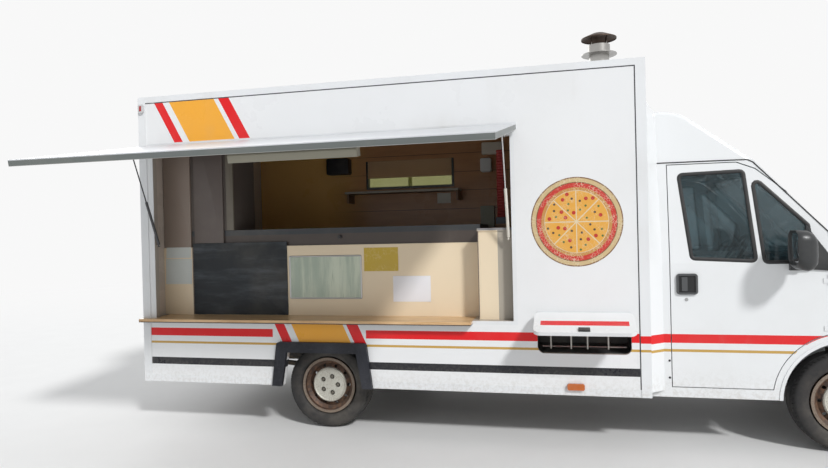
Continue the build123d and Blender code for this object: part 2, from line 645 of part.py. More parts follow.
def box_trims():
    """Cap rails, corner posts, skirts, opening frame and hatch hinge rail."""
    side = BOX_HALF
    low = BOX_TOP - CAP_RAIL
    x = (BOX_REAR - RAIL_PROUD, BOX_FRONT + RAIL_PROUD)
    ring = slab(x, (-side - RAIL_PROUD, side + RAIL_PROUD), (low, BOX_TOP + RAIL_PROUD))
    ring -= slab((BOX_REAR, BOX_FRONT), (-side, side), (low - 1, BOX_TOP))
    ring -= slab((BOX_REAR + POST_WIDTH, BOX_FRONT - POST_WIDTH), (-side + POST_WIDTH, side - POST_WIDTH),
                 (low, BOX_TOP + RAIL_PROUD + 1))
    pieces = [ring]
    rear_post = (BOX_REAR - RAIL_PROUD, BOX_REAR + POST_WIDTH)
    front_post = (BOX_FRONT - POST_WIDTH, BOX_FRONT + RAIL_PROUD)
    for span in (rear_post, front_post):
        post = slab(span, (-side - RAIL_PROUD, -side + POST_WIDTH), (SKIRT_BOTTOM, low))
        post -= slab((BOX_REAR, BOX_FRONT), (-side, 0), (SKIRT_BOTTOM - 1, low + 1))
        pieces.append(post)
        pieces.append(mirrored(post))
    strip = slab((BOX_REAR + POST_WIDTH, BOX_FRONT - POST_WIDTH), (-side - STRIP_PROUD, -side),
                 (SKIRT_BOTTOM, SIDE_BOTTOM))
    strip -= side_prism(arch_outline(FLARE_BORDER), (-side - FLARE_PROUD, -side + 1))
    pieces.append(strip)
    pieces.append(mirrored(strip))
    lip = slab((OPEN_REAR, OPEN_FRONT), (-side, -side + WALL + 12), (OPEN_BOTTOM, OPEN_TOP))
    lip -= slab((OPEN_REAR + FRAME_WIDTH, OPEN_FRONT - FRAME_WIDTH), (-side - 1, -side + WALL + 20),
                (OPEN_BOTTOM - 1, OPEN_TOP - FRAME_WIDTH))
    lip -= slab((OPEN_REAR - 1, OPEN_FRONT + 1), (-side - 1, -side + WALL + 20), (OPEN_BOTTOM - 1, LEDGE_TOP))
    pieces.append(lip)
    sill = slab((LEDGE_FRONT, OPEN_FRONT), (-side, -side + COUNTER_SETBACK), (OPEN_BOTTOM, LEDGE_TOP))
    pieces.append(sill)
    leaf = slab((HATCH_REAR, HATCH_FRONT), (-side - 6, -side), (HINGE_Z - 4, HINGE_Z + 44))
    for x in hinge_spans(0):
        leaf += rod_x(HINGE_RADIUS, x, HINGE_Y, HINGE_Z)
        leaf += slab(x, (HINGE_Y, -side), (HINGE_Z, HINGE_Z + 6))
    pieces.append(leaf)
    lid_leaf = slab((LOCKER_REAR, LOCKER_FRONT), (-side - 4, -side), (LID_HINGE_Z - 4, LID_HINGE_Z + 18))
    for x in lid_spans(0):
        lid_leaf += rod_x(LID_BARREL, x, LID_HINGE_Y, LID_HINGE_Z)
        lid_leaf += slab(x, (LID_HINGE_Y, -side), (LID_HINGE_Z, LID_HINGE_Z + 5))
    pieces.append(lid_leaf)
    for end in (OPEN_REAR + FRAME_WIDTH, OPEN_FRONT - FRAME_WIDTH):
        inward = 1 if end < 0 else -1
        y = -side + STRUT_FOOT_IN
        tip = end + inward * (STRUT_X_GAP + STRUT_EYE_HALF + 5)
        pin = rod_x(5, sorted((end, tip)), y, STRUT_FOOT_Z)
        pieces.append(pin + rod_x(9, sorted((tip - inward * 4, tip)), y, STRUT_FOOT_Z))
    return Compound(children=pieces)


def arch_flares():
    """Straight-sided black surround on each rear wheel arch."""
    y = (-BOX_HALF - FLARE_PROUD, -BOX_HALF)
    ring = side_prism(arch_outline(FLARE_BORDER), y)
    ring = fillet(ring.edges().filter_by(Axis.Y).group_by(Axis.Z)[-1], FLARE_ROUND)
    return both_sides(ring - side_prism(arch_outline(0), (y[0] - 1, y[1] + 1)))


def rear_lamps():
    """Two lamp clusters low on the rear wall."""
    y = (-BOX_HALF + WALL + 60, -BOX_HALF + WALL + 200)
    lamp = slab((BOX_REAR - 45, BOX_REAR), y, REAR_LAMP_LEVELS)
    return both_sides(fillet(lamp.edges().filter_by(Axis.X), 18))


def marker_lamps():
    """Amber side marker, and a small clearance lamp high at each corner."""
    pieces = []
    marker = slab(MARKER_X, (-BOX_HALF - 24, -BOX_HALF - STRIP_PROUD), (SIDE_BOTTOM - 14, SIDE_BOTTOM + 32))
    face = -BOX_HALF - RAIL_PROUD
    high = BOX_TOP - CLEARANCE_LAMP_DROP
    corner = slab((BOX_REAR + 6, BOX_REAR + 52), (face - 20, face), (high - 70, high))
    for lamp in (upright_edges(marker, 12), upright_edges(corner, 12)):
        pieces.append(lamp)
        pieces.append(mirrored(lamp))
    return Compound(children=pieces)


# Serving side fittings

def counter():
    """Cream front panels between the rear wall and the capped end pilaster."""
    rear = BOX_REAR + WALL
    end = OPEN_FRONT - FRAME_WIDTH
    front = slab((rear, PILASTER_REAR), (COUNTER_Y, COUNTER_Y + COUNTER_PANEL), (LEDGE_TOP, COUNTER_TOP))
    fascia = slab((rear, PILASTER_REAR), (COUNTER_Y + COUNTER_PANEL, COUNTER_Y + 2 * COUNTER_PANEL),
                  (WHEEL_BOX_TOP, WORKTOP_TOP - WORKTOP_THICK))
    y = (COUNTER_Y - PILASTER_DEPTH, COUNTER_Y + PILASTER_BACK)
    pilaster = slab((PILASTER_REAR, end), y, (LEDGE_TOP, PILASTER_TOP))
    cap = slab((PILASTER_REAR - 3, end), (y[0] - 8, y[1]), (PILASTER_TOP, PILASTER_TOP + PILASTER_CAP))
    back = slab((PILASTER_REAR, end), (COUNTER_Y + 20, y[1]), (FLOOR_TOP, LEDGE_TOP))
    return front + fascia + pilaster + cap + back


def worktop():
    """Steel worktop inside the counter, on its own cabinets."""
    y = (COUNTER_Y + COUNTER_PANEL, COUNTER_Y + COUNTER_PANEL + WORKTOP_DEPTH)
    top = slab((BOX_REAR + WALL + 10, PILASTER_REAR - 4), y, (WORKTOP_TOP - WORKTOP_THICK, WORKTOP_TOP))
    for x0, x1 in ((BOX_REAR + WALL + 10, -WHEEL_BOX_HALF - 20), (WHEEL_BOX_HALF + 20, PILASTER_REAR - 4)):
        carcass = slab((x0, x1), (y[0] + COUNTER_PANEL, y[1] - 30), (FLOOR_TOP, WORKTOP_TOP - WORKTOP_THICK))
        carcass -= slab((x0 + UNIT_BOARD, x1 - UNIT_BOARD), (y[0] + COUNTER_PANEL + UNIT_BOARD, y[1]),
                        (FLOOR_TOP + 80, WORKTOP_TOP - WORKTOP_THICK - 60))
        top += carcass
    return top


def serving_shelf():
    """Oak ledge that runs from the counter front out over the wall."""
    x = (OPEN_REAR, LEDGE_FRONT)
    board = slab(x, (-BOX_HALF - LEDGE_OUT, COUNTER_Y), (OPEN_BOTTOM, LEDGE_TOP))
    board += slab((BOX_REAR + POST_WIDTH, OPEN_REAR), (-BOX_HALF - LEDGE_OUT, -BOX_HALF),
                  (OPEN_BOTTOM, LEDGE_TOP))
    return board + slab((BOX_REAR, BOX_REAR + POST_WIDTH), (-BOX_HALF - LEDGE_OUT, -BOX_HALF - RAIL_PROUD),
                        (OPEN_BOTTOM, LEDGE_TOP))


def back_units():
    """Wall units on the far side: a base run with two bays, a shelf on brackets and a rear unit."""
    wall = BOX_HALF - WALL
    x = (WHEEL_BOX_HALF + 30, OVEN_REAR - 140)
    base = slab(x, (wall - UNIT_DEPTH, wall), (FLOOR_TOP, UNIT_TOP))
    base -= slab((x[0] + UNIT_BOARD, x[1] - UNIT_BOARD), (wall - UNIT_DEPTH - 1, wall - UNIT_BOARD),
                 (FLOOR_TOP + 90, UNIT_TOP - 40))
    middle = (x[0] + x[1]) / 2
    base += slab((middle - UNIT_BOARD / 2, middle + UNIT_BOARD / 2), (wall - UNIT_DEPTH + 10, wall - 10),
                 (FLOOR_TOP + 80, UNIT_TOP - 30))
    span = (WINDOW_REAR - 172, WINDOW_FRONT + 79)
    shelf = slab(span, (wall - SHELF_DEPTH, wall), (WINDOW_BOTTOM - 52, WINDOW_BOTTOM - 30))
    for end in (span[0] + 10, span[1] - 25):
        shelf += slab((end, end + 18), (wall - SHELF_DEPTH + 40, wall),
                      (WINDOW_BOTTOM - 150, WINDOW_BOTTOM - 50))
    rear = BOX_REAR + WALL
    rear_unit = slab((rear, rear + REAR_UNIT_LENGTH), (OVEN_HALF, wall), (FLOOR_TOP, REAR_UNIT_TOP))
    return Compound(children=[base, shelf, rear_unit])


def oven():
    """Deck oven at the front end, with a mouth to the rear and a steel stand."""
    x = (OVEN_REAR, OVEN_REAR + OVEN_DEPTH)
    body = slab(x, (-OVEN_HALF, OVEN_HALF), (OVEN_BOTTOM, OVEN_TOP))
    body = fillet(body.edges().filter_by(Axis.X), 60)
    mouth = (OVEN_BOTTOM + OVEN_MOUTH[0], OVEN_BOTTOM + OVEN_MOUTH[1])
    body -= slab((x[0] - 1, x[1] - 80), (-OVEN_HALF + OVEN_CHEEK, OVEN_HALF - OVEN_CHEEK), mouth)
    for px in (x[0] + 40, x[1] - 40):
        for py in (-OVEN_HALF + 100, OVEN_HALF - 100):
            body += slab((px - 30, px + 30), (py - 30, py + 30), (FLOOR_TOP, OVEN_BOTTOM + 5))
    return body


def flue():
    """Pipe through the roof, its collar, and a drum with a dished cap held up on four rods."""
    inner = FLUE_RADIUS - FLUE_WALL
    z = FLUE_FLANGE_Z
    rim_z = FLUE_CAP_Z
    body = Pos(0, 0, BOX_TOP + 30) * Cone(FLUE_FLANGE, FLUE_RADIUS + 2, 60)
    body += rod_z(FLUE_FLANGE + 12, 0, 0, (BOX_TOP, BOX_TOP + 6))
    body += rod_z(FLUE_RADIUS, 0, 0, (OVEN_TOP, z))
    body += rod_z(FLUE_FLANGE, 0, 0, (z, z + 7))
    body += rod_z(FLUE_DRUM, 0, 0, (z, z + FLUE_DRUM_HEIGHT))
    body -= rod_z(inner, 0, 0, (OVEN_TOP - 1, z + FLUE_DRUM_HEIGHT + 1))
    cap = [
        (0, rim_z + 52), (60, rim_z + 44), (FLUE_FLANGE, rim_z + 4), (FLUE_FLANGE, rim_z - 6),
        (FLUE_FLANGE - 4, rim_z - 6), (FLUE_FLANGE - 4, rim_z), (58, rim_z + 38), (0, rim_z + 46),
    ]
    body += revolve(Plane.XZ * make_face(Polyline(*cap, close=True)), Axis.Z)
    stand = (FLUE_DRUM + inner) / 2
    for turn in range(4):
        angle = radians(45 + 90 * turn)
        body += rod_z(4, stand * cos(angle), stand * sin(angle), (z + 20, rim_z + 28))
    return Pos(FLUE_X, FLUE_Y, 0) * body


def locker_box():
    """Steel liner behind the locker opening, open to the side."""
    y = (-BOX_HALF + WALL, -BOX_HALF + WALL + LOCKER_DEPTH)
    x = (LOCKER_REAR - LOCKER_GROW, LOCKER_FRONT + LOCKER_GROW)
    outer = slab(x, y, (LOCKER_BOTTOM - SHEET, LOCKER_TOP + LOCKER_GROW))
    hollow = slab((x[0] + SHEET, x[1] - SHEET), (y[0] - 1, y[1] - SHEET),
                  (LOCKER_BOTTOM, LOCKER_TOP + LOCKER_GROW - SHEET))
    return outer - hollow


# Serving hatch, its light and its struts, drawn shut and then swung open

def swung_open(shape):
    """Turn a piece of the hatch about its hinge, from shut to propped open."""
    hinge = Axis((0, HINGE_Y, HINGE_Z), (1, 0, 0))
    return shape.rotate(hinge, -HATCH_SWING)


def serving_hatch():
    """Panel with edge rails and the two strut lugs on its inner face."""
    inner = HINGE_Y + HATCH_INNER
    y = (inner - HATCH_THICK, inner)
    top = HINGE_Z - HATCH_START
    low = top - HATCH_LENGTH
    panel = slab((HATCH_REAR, HATCH_FRONT), y, (low, top))
    lug_y = HINGE_Y + STRUT_BELOW
    lug_z = HINGE_Z - STRUT_ALONG
    for x, toward in ((STRUT_REAR_X, -1), (STRUT_FRONT_X, 1)):
        ends = sorted((x + toward * (STRUT_TUBE + 6), x + toward * (STRUT_TUBE + 2)))
        panel += slab(ends, (inner - 1, lug_y + 10), (lug_z - 16, lug_z + 16))
        pin = sorted((x + toward * (STRUT_TUBE + 4), x + toward * (STRUT_EYE_HALF + 1)))
        panel += rod_x(4, pin, lug_y, lug_z)
    for x in hinge_spans(1):
        panel += rod_x(HINGE_RADIUS, x, HINGE_Y, HINGE_Z)
        panel += slab(x, (HINGE_Y - HINGE_RADIUS, HINGE_Y - 1), (top - 1, HINGE_Z))
    return swung_open(panel)


def hatch_light():
    """Batten light on the hatch's inner face, near its free edge."""
    inner = HINGE_Y + HATCH_INNER
    z = HINGE_Z - HATCH_LIGHT_AT
    lamp = slab(HATCH_LIGHT_X, (inner, inner + HATCH_LIGHT_SIZE[1]),
                (z - HATCH_LIGHT_SIZE[0] / 2, z + HATCH_LIGHT_SIZE[0] / 2))
    return swung_open(fillet(lamp.edges().filter_by(Axis.X).group_by(Axis.Y)[0], 16))


def strut_points():
    """Foot on the jamb and eye on the open hatch, in Y and Z."""
    foot = (-BOX_HALF + STRUT_FOOT_IN, STRUT_FOOT_Z)
    turn = radians(-HATCH_SWING)
    dy = STRUT_BELOW
    dz = -STRUT_ALONG
    eye = (HINGE_Y + dy * cos(turn) - dz * sin(turn), HINGE_Z + dy * sin(turn) + dz * cos(turn))
    return foot, eye


def along_strut(shape):
    """Lay an upright bar, drawn from the origin, along the open strut."""
    foot, eye = strut_points()
    tilt = degrees(atan2(-(eye[0] - foot[0]), eye[1] - foot[1]))
    return Pos(0, foot[0], foot[1]) * Rot(tilt, 0, 0) * shape


def strut_tubes():
    """The two gas cylinders, each on its pin in the jamb."""
    pieces = []
    for x in (STRUT_REAR_X, STRUT_FRONT_X):
        tube = rod_z(STRUT_TUBE, x, 0, (14, STRUT_TUBE_LENGTH))
        tube -= rod_z(STRUT_ROD + RUNNING_GAP, x, 0, (26, STRUT_TUBE_LENGTH + 1))
        eye = rod_x(12, (x - STRUT_EYE_HALF, x + STRUT_EYE_HALF), 0, 0)
        eye -= rod_x(5 + RUNNING_GAP, (x - 7, x + 7), 0, 0)
        tube += eye + rod_z(5, x, 0, (8, 18))
        pieces.append(along_strut(tube))
    return Compound(children=pieces)


def strut_rods():
    """The two rods, each out to its eye at the hatch."""
    foot, eye = strut_points()
    reach = hypot(eye[0] - foot[0], eye[1] - foot[1])
    pieces = []
    for x in (STRUT_REAR_X, STRUT_FRONT_X):
        rod = rod_z(STRUT_ROD, x, 0, (STRUT_TUBE_LENGTH - STRUT_ENGAGED, reach - 7))
        ring = rod_x(10, (x - 5, x + 5), 0, 0) - rod_x(4 + RUNNING_GAP, (x - 6, x + 6), 0, 0)
        pieces.append(along_strut(rod + Pos(0, 0, reach) * ring))
    return Compound(children=pieces)


# Locker lid and rear door

def locker_lid():
    """Rounded lid, drawn shut over the opening and swung up on its top edge."""
    y = (-BOX_HALF - 6 - LID_THICK, -BOX_HALF - 6)
    x = (LOCKER_REAR - LID_GROW, LOCKER_FRONT + LID_GROW)
    lid = slab(x, y, (LOCKER_BOTTOM - LID_GROW, LID_HINGE_Z - 12))
    lid = upright_edges(lid, LOCKER_CORNER)
    middle = (x[0] + x[1]) / 2
    latch = slab((middle - 38, middle + 38), (y[0] - 12, y[0]), (LOCKER_BOTTOM + 2, LOCKER_BOTTOM + 40))
    for x in lid_spans(1):
        lid += rod_x(LID_BARREL, x, LID_HINGE_Y, LID_HINGE_Z)
        lid += slab(x, (LID_HINGE_Y - LID_BARREL, LID_HINGE_Y - 1), (LID_HINGE_Z - 13, LID_HINGE_Z))
    hinge = Axis((0, LID_HINGE_Y, LID_HINGE_Z), (1, 0, 0))
    return (lid + latch).rotate(hinge, -LID_OPEN)


def rear_door():
    """Staff door leaf in the rear wall, with its lever handle."""
    gap = MOVING_GAP
    y = (DOOR_LOW_Y + gap, DOOR_HIGH_Y - gap)
    leaf = slab((BOX_REAR, BOX_REAR + WALL), y, (FLOOR_TOP + gap, REAR_DOOR_TOP - gap))
    handle = slab((BOX_REAR - 12, BOX_REAR), (y[0] + 30, y[0] + 75), (1480, 1660))
    handle += slab((BOX_REAR - 48, BOX_REAR - 12), (y[0] + 42, y[0] + 62), (1590, 1610))
    handle += slab((BOX_REAR - 48, BOX_REAR - 34), (y[0] + 42, y[0] + 160), (1588, 1612))
    plate = ((BOX_REAR - 5, BOX_REAR), (DOOR_HIGH_Y - HINGE_LEAF, DOOR_HIGH_Y))
    for z in REAR_HINGE_LEVELS:
        leaf += hinge_pair(REAR_HINGE_X, DOOR_HIGH_Y, z, DOOR_BARREL, plate, 1)
    return leaf + handle


# Cab: a skin volume that each panel, door and pane is cut from

def bowed_plan(x, half, bow, back):
    """Plan face from a straight back edge to a front arc."""
    return make_face([
        Line((back, -half), (x - bow, -half)),
        ThreePointArc((x - bow, -half), (x, 0), (x - bow, half)),
        Line((x - bow, half), (back, half)),
        Line((back, half), (back, -half)),
    ])


def nose_plan(inset):
    """Plan face of the nose: straight sides, round corners, gentle front arc."""
    side = CAB_HALF - inset
    x = NOSE_X - inset
    corner_x = NOSE_SIDE_X - inset / 2
    return make_face([
        Line((CAB_REAR, -side), (corner_x, -side)),
        ThreePointArc((corner_x, -side), (x - 105, -side + 105), (x - 45, -side + 330)),
        ThreePointArc((x - 45, -side + 330), (x, 0), (x - 45, side - 330)),
        ThreePointArc((x - 45, side - 330), (x - 105, side - 105), (corner_x, side)),
        Line((corner_x, side), (CAB_REAR, side)),
        Line((CAB_REAR, side), (CAB_REAR, -side)),
    ])


def side_taper(inset):
    """Body sides, upright to the waist and leaning in above it, along the whole cab."""
    side = CAB_HALF - inset
    top = CAB_ROOF_HALF - inset
    section = [
        (-side, SILL_BOTTOM), (side, SILL_BOTTOM), (side, WAIST), (top, CAB_ROOF),
        (-top, CAB_ROOF), (-side, WAIST),
    ]
    return front_prism(section, (CAB_REAR, NOSE_X + 10))


def cab_volume(inset):
    """Everything inside the cab's skin, or inside a wall of that thickness."""
    low = SILL_BOTTOM
    roof = CAB_ROOF - inset
    height = roof - low
    x = SCREEN_BASE_X - inset * LEAN + SCREEN_LEAN * (SCREEN_BASE_Z - low)
    back = CAB_REAR - SCREEN_LEAN * 100
    plan = bowed_plan(x, CAB_HALF, SCREEN_BOW, back)
    house = Pos(0, 0, low) * extrude(plan, amount=height * LEAN, dir=(-SCREEN_LEAN / LEAN, 0, 1 / LEAN))
    house &= slab((CAB_REAR, SCREEN_BASE_X + 60), (-CAB_HALF, CAB_HALF), (low, roof))
    drop = inset * hypot(1, BONNET_SLOPE)
    front = NOSE_X + 10
    outline = [
        (CAB_REAR, low), (front, low), (front, NOSE_TOP_Z - drop - BONNET_SLOPE * (front - NOSE_TOP_X)),
        (SCREEN_BASE_X - inset * LEAN, BONNET_BASE_Z - drop), (CAB_REAR, BONNET_BASE_Z - drop),
    ]
    nose = Pos(0, 0, low) * extrude(nose_plan(inset), amount=BONNET_BASE_Z - low)
    nose &= side_prism(outline, (-CAB_HALF, CAB_HALF))
    return (house + nose) & side_taper(inset)


CAB_OUTER = cab_volume(0)
SCREEN_PANE = cab_volume(8) - cab_volume(8 + GLASS)


def arch_bar(radius, y):
    """Round bar through a front wheel arch."""
    return rod_y(radius, ARCH_X, y, ARCH_Z)


def door_outline(gap):
    """Cab door seen from the side, shrunk by a gap."""
    rear = DOOR_REAR_X + gap
    front = DOOR_FRONT_X - gap
    return [
        (rear, DOOR_BOTTOM + gap), (front, DOOR_BOTTOM + gap), (front, WAIST + 210),
        (front - 210, DOOR_TOP - 243), (front - 430, DOOR_TOP - 50 - gap),
        (front - 548, DOOR_TOP - gap), (rear, DOOR_TOP - gap),
    ]


def window_cut(points):
    """Window opening through the right door, with rounded corners."""
    return upright_edges(side_prism(points, (-CAB_HALF - 5, -CAB_HALF + 200)), WINDOW_ROUND)


def cab_door_right():
    """Right cab door, its windows cut and its lower edge round the arch."""
    y = (-CAB_HALF - 1, -CAB_HALF + 285)
    door = (CAB_OUTER - side_taper(DOOR_THICK)) & side_prism(door_outline(MOVING_GAP / 2), y)
    door -= arch_bar(WELL_RADIUS + 12 + MOVING_GAP, y)
    for points in (MAIN_WINDOW, QUARTER_WINDOW):
        door -= window_cut(points)
    plate = ((DOOR_FRONT_X - HINGE_LEAF, DOOR_FRONT_X), (-CAB_HALF - 5, -CAB_HALF))
    for z in CAB_HINGE_LEVELS:
        door += hinge_pair(DOOR_FRONT_X, CAB_HINGE_Y, z, DOOR_BARREL, plate, 1)
    return door


def door_glass_right():
    """The two panes of the right door."""
    panes = []
    for points in (MAIN_WINDOW, QUARTER_WINDOW):
        panes.append((side_taper(8) - side_taper(8 + GLASS)) & window_cut(points))
    return Compound(children=panes)


def mirror_right():
    """Mirror housing on its arm, and the recessed door handle, in black plastic."""
    y = -CAB_HALF
    x = MIRROR_X
    deep, wide, tall = MIRROR_SIZE
    inner = y - MIRROR_OUT
    housing = slab((x, x + deep), (inner - wide, inner), (WAIST, WAIST + tall))
    housing = fillet(housing.edges().filter_by(Axis.X), 45)
    housing = fillet(housing.faces().sort_by(Axis.X)[-1].edges(), 24)
    glass_seat = slab((x - 1, x + 6), (inner - wide + 10, inner - 10), (WAIST + 10, WAIST + tall - 10))
    housing -= fillet(glass_seat.edges().filter_by(Axis.X), 35)
    arm = slab((x + 30, x + 60), (inner - 40, y - 4), (WAIST + 12, WAIST + 48))
    base = slab((x + 20, x + 150), (y - 16, y), (WAIST - 54, WAIST))
    base += slab((x + 20, x + 90), (y - 30, y - 4), (WAIST - 54, WAIST + 50))
    plate = upright_edges(slab(HANDLE_X, (y - 14, y), HANDLE_Z), 22)
    plate -= slab((HANDLE_X[0] + 14, HANDLE_X[1] - 14), (y - 15, y - 4), (HANDLE_Z[0] + 14, HANDLE_Z[1] - 14))
    plate += slab((HANDLE_X[0] + 34, HANDLE_X[0] + 72), (y - 12, y - 3), (HANDLE_Z[0] + 24, HANDLE_Z[1] - 24))
    return Compound(children=[housing + arm + base, plate])


def screen_cut(grow):
    """Opening for the windscreen, drawn along the vehicle."""
    low = SCREEN_BASE_Z + 45 - grow
    high = CAB_ROOF - 56 + grow
    wide = CAB_HALF - 143 + grow
    narrow = CAB_ROOF_HALF - 128 + grow
    top_x = SCREEN_BASE_X - SCREEN_LEAN * (high - SCREEN_BASE_Z)
    outline = [(-wide, low), (wide, low), (narrow, high), (-narrow, high)]
    cut = front_prism(outline, (top_x - 154, SCREEN_BASE_X + 202))
    return fillet(cut.edges().filter_by(Axis.X), 70)


def bonnet_cut(gap):
    """Outline of the bonnet seen from above, shrunk by a gap."""
    points = [
        (BONNET_REAR_X + gap, -BONNET_HALF + gap), (NOSE_X + 40, -BONNET_HALF + gap + BONNET_TAPER),
        (NOSE_X + 40, BONNET_HALF - gap - BONNET_TAPER), (BONNET_REAR_X + gap, BONNET_HALF - gap),
    ]
    return plan_prism(points, (NOSE_TOP_Z - 40 + gap, CAB_ROOF))


def bonnet_knuckles(own):
    """Two small hinges at the bonnet's rear edge: own 1 for the bonnet's halves."""
    toward = 1 if own else -1
    z = BONNET_HINGE_Z
    fall = -toward * BONNET_SLOPE * BONNET_LEAF
    tip = BONNET_REAR_X + toward * BONNET_LEAF
    leaf = [(BONNET_REAR_X, z), (tip, z + fall), (tip, z + fall - 16), (BONNET_REAR_X, z - BONNET_BARREL)]
    halves = Part()
    for y in (-BONNET_HINGE_Y, BONNET_HINGE_Y):
        span = (y + RUNNING_GAP / 2, y + BONNET_LEAF) if own else (y - BONNET_LEAF, y - RUNNING_GAP / 2)
        halves += rod_y(BONNET_BARREL, BONNET_REAR_X, span, z) + side_prism(leaf, span)
    return halves


def bonnet():
    """Hinged bonnet skin."""
    skin = (CAB_OUTER - cab_volume(BONNET_THICK)) & bonnet_cut(MOVING_GAP / 2)
    return skin + bonnet_knuckles(1)


def grille_gap():
    """Opening between the lamps that the grille fills."""
    return slab((NOSE_X - 160, NOSE_X + 20), (-GRILLE_HALF, GRILLE_HALF), (GRILLE_LOW, GRILLE_HIGH))


def lamp_gap():
    """Opening in the right front corner that the lamp unit fills."""
    y = (-LAMP_OUT, -GRILLE_HALF - LAMP_GAP)
    return slab((NOSE_X - LAMP_DEPTH, NOSE_X + 20), y, (GRILLE_LOW, GRILLE_HIGH + 20))


def arch_lip():
    """Raised rim round the right front arch, from the sill over to the bumper."""
    y = (-CAB_HALF - ARCH_LIP_PROUD, -CAB_HALF)
    ring = arch_bar(ARCH_RADIUS + ARCH_LIP, y) - arch_bar(ARCH_RADIUS, (y[0] - 1, y[1] + 1))
    ring &= slab((ARCH_X - ARCH_RADIUS - ARCH_LIP, ARCH_X + ARCH_RADIUS + ARCH_LIP), y, (SILL_BOTTOM, WAIST))
    return ring - slab((ARCH_X, NOSE_X), (y[0] - 1, y[1] + 1), (SILL_BOTTOM, BUMPER_TOP))


def cab_shell():
    """Cab body: walls, floor, firewall, wheel housings and engine bay."""
    side = (-CAB_HALF - 1, CAB_HALF + 1)
    bay_rear = FIREWALL + FIREWALL_THICK
    low = SILL_BOTTOM - 1
    cabin = cab_volume(CAB_WALL) & slab((CAB_REAR + CAB_WALL, FIREWALL), side, (CAB_FLOOR, CAB_ROOF))
    bay = cab_volume(CAB_WALL / 2) & slab((bay_rear, NOSE_X), side, (low, CAB_ROOF))
    housings = arch_bar(WELL_RADIUS + SHEET, (-CAB_HALF - 1, -WELL_INNER_Y + SHEET))
    housings += mirrored(housings)
    shell = CAB_OUTER - (cabin - housings) - (bay - housings)
    under = slab((CAB_REAR - 1, bay_rear), (-CAB_HALF + 90, CAB_HALF - 90), (low, CAB_FLOOR - CAB_FLOOR_THICK))
    shell -= under - housings
    for sign in (-1, 1):
        y = sorted((sign * WELL_INNER_Y, sign * (CAB_HALF - 40)))
        shell -= arch_bar(WELL_RADIUS, y)
        y = sorted((sign * (CAB_HALF - 60), sign * (CAB_HALF + 2)))
        shell -= arch_bar(ARCH_RADIUS, y)
    shell -= slab((ARCH_X, NOSE_X + 10), side, (low, BUMPER_TOP))
    tray = WELL_INNER_Y - SHEET - 20
    shell -= slab((ARCH_X, ENGINE_X[1] + 30), (-tray, tray), (low, ENGINE_TOP - 30))
    opening = side_prism(door_outline(-MOVING_GAP / 2), (-CAB_HALF - 2, -CAB_HALF + DOOR_THICK + 120))
    opening -= slab((CAB_REAR, FIREWALL), (-CAB_HALF + DOOR_THICK + MOVING_GAP, 0), (SILL_BOTTOM, CAB_FLOOR))
    opening -= arch_bar(WELL_RADIUS + 12, (-CAB_HALF - 3, 0))
    plate = ((DOOR_FRONT_X, DOOR_FRONT_X + HINGE_LEAF), (-CAB_HALF - 5, -CAB_HALF))
    for z in CAB_HINGE_LEVELS:
        hinge = hinge_pair(DOOR_FRONT_X, CAB_HINGE_Y, z, DOOR_BARREL, plate, 0)
        shell = shell + hinge + mirrored(hinge)
    shell -= opening
    shell -= mirrored(opening)
    shell -= screen_cut(0)
    shell -= bonnet_cut(-MOVING_GAP / 2)
    shell = shell + bonnet_knuckles(0) + arch_lip() + mirrored(arch_lip())
    return shell - grille_gap() - lamp_gap() - mirrored(lamp_gap())


def windscreen():
    """Bowed windscreen pane."""
    return SCREEN_PANE & screen_cut(0)


def front_bumper():
    """Deep wrap-round bumper with a lower air slot, on two stubs from the rails."""
    high = BUMPER_TOP - MOVING_GAP
    grown = Pos(0, 0, BUMPER_BOTTOM) * extrude(nose_plan(-BUMPER_PROUD), amount=high - BUMPER_BOTTOM)
    inner = Pos(0, 0, BUMPER_BOTTOM - 1) * extrude(nose_plan(24), amount=BUMPER_TOP)
    body = grown - inner
    body &= slab((ARCH_X + ARCH_RADIUS + 4, NOSE_X + 90), (-CAB_HALF - 4, CAB_HALF + 4), (BUMPER_BOTTOM, high))
    body -= slab((NOSE_X - 100, NOSE_X + 100), (-GRILLE_HALF + 20, GRILLE_HALF - 20),
                 (BUMPER_BOTTOM + 70, BUMPER_BOTTOM + 130))
    for sign in (-1, 1):
        y = sorted((sign * RAIL_Y, sign * (RAIL_Y + RAIL_WIDTH)))
        body += slab((RAIL_FRONT, NOSE_X - 10), y, (RAIL_BOTTOM + 20, RAIL_TOP - 20))
    return body


def grille():
    """Slatted grille panel between the lamps."""
    panel = (cab_volume(6) - cab_volume(30)) & grille_gap()
    pitch = (GRILLE_HIGH - GRILLE_LOW - 30) / GRILLE_SLATS
    for row in range(GRILLE_SLATS):
        z = GRILLE_LOW + 24 + row * pitch
        panel -= slab((NOSE_X - 170, NOSE_X + 30), (-GRILLE_HALF + 26, GRILLE_HALF - 26), (z, z + 20))
    return panel


def headlamps():
    """One lamp unit in each front corner, its indicator marked off by a groove."""
    unit = (cab_volume(3) - cab_volume(90)) & lamp_gap()
    line = slab((NOSE_X - LAMP_DEPTH - 1, NOSE_X + 20), (-INDICATOR_Y - 3, -INDICATOR_Y + 3),
                (GRILLE_LOW - 1, GRILLE_HIGH + 21))
    return both_sides(unit - (line - cab_volume(14)))


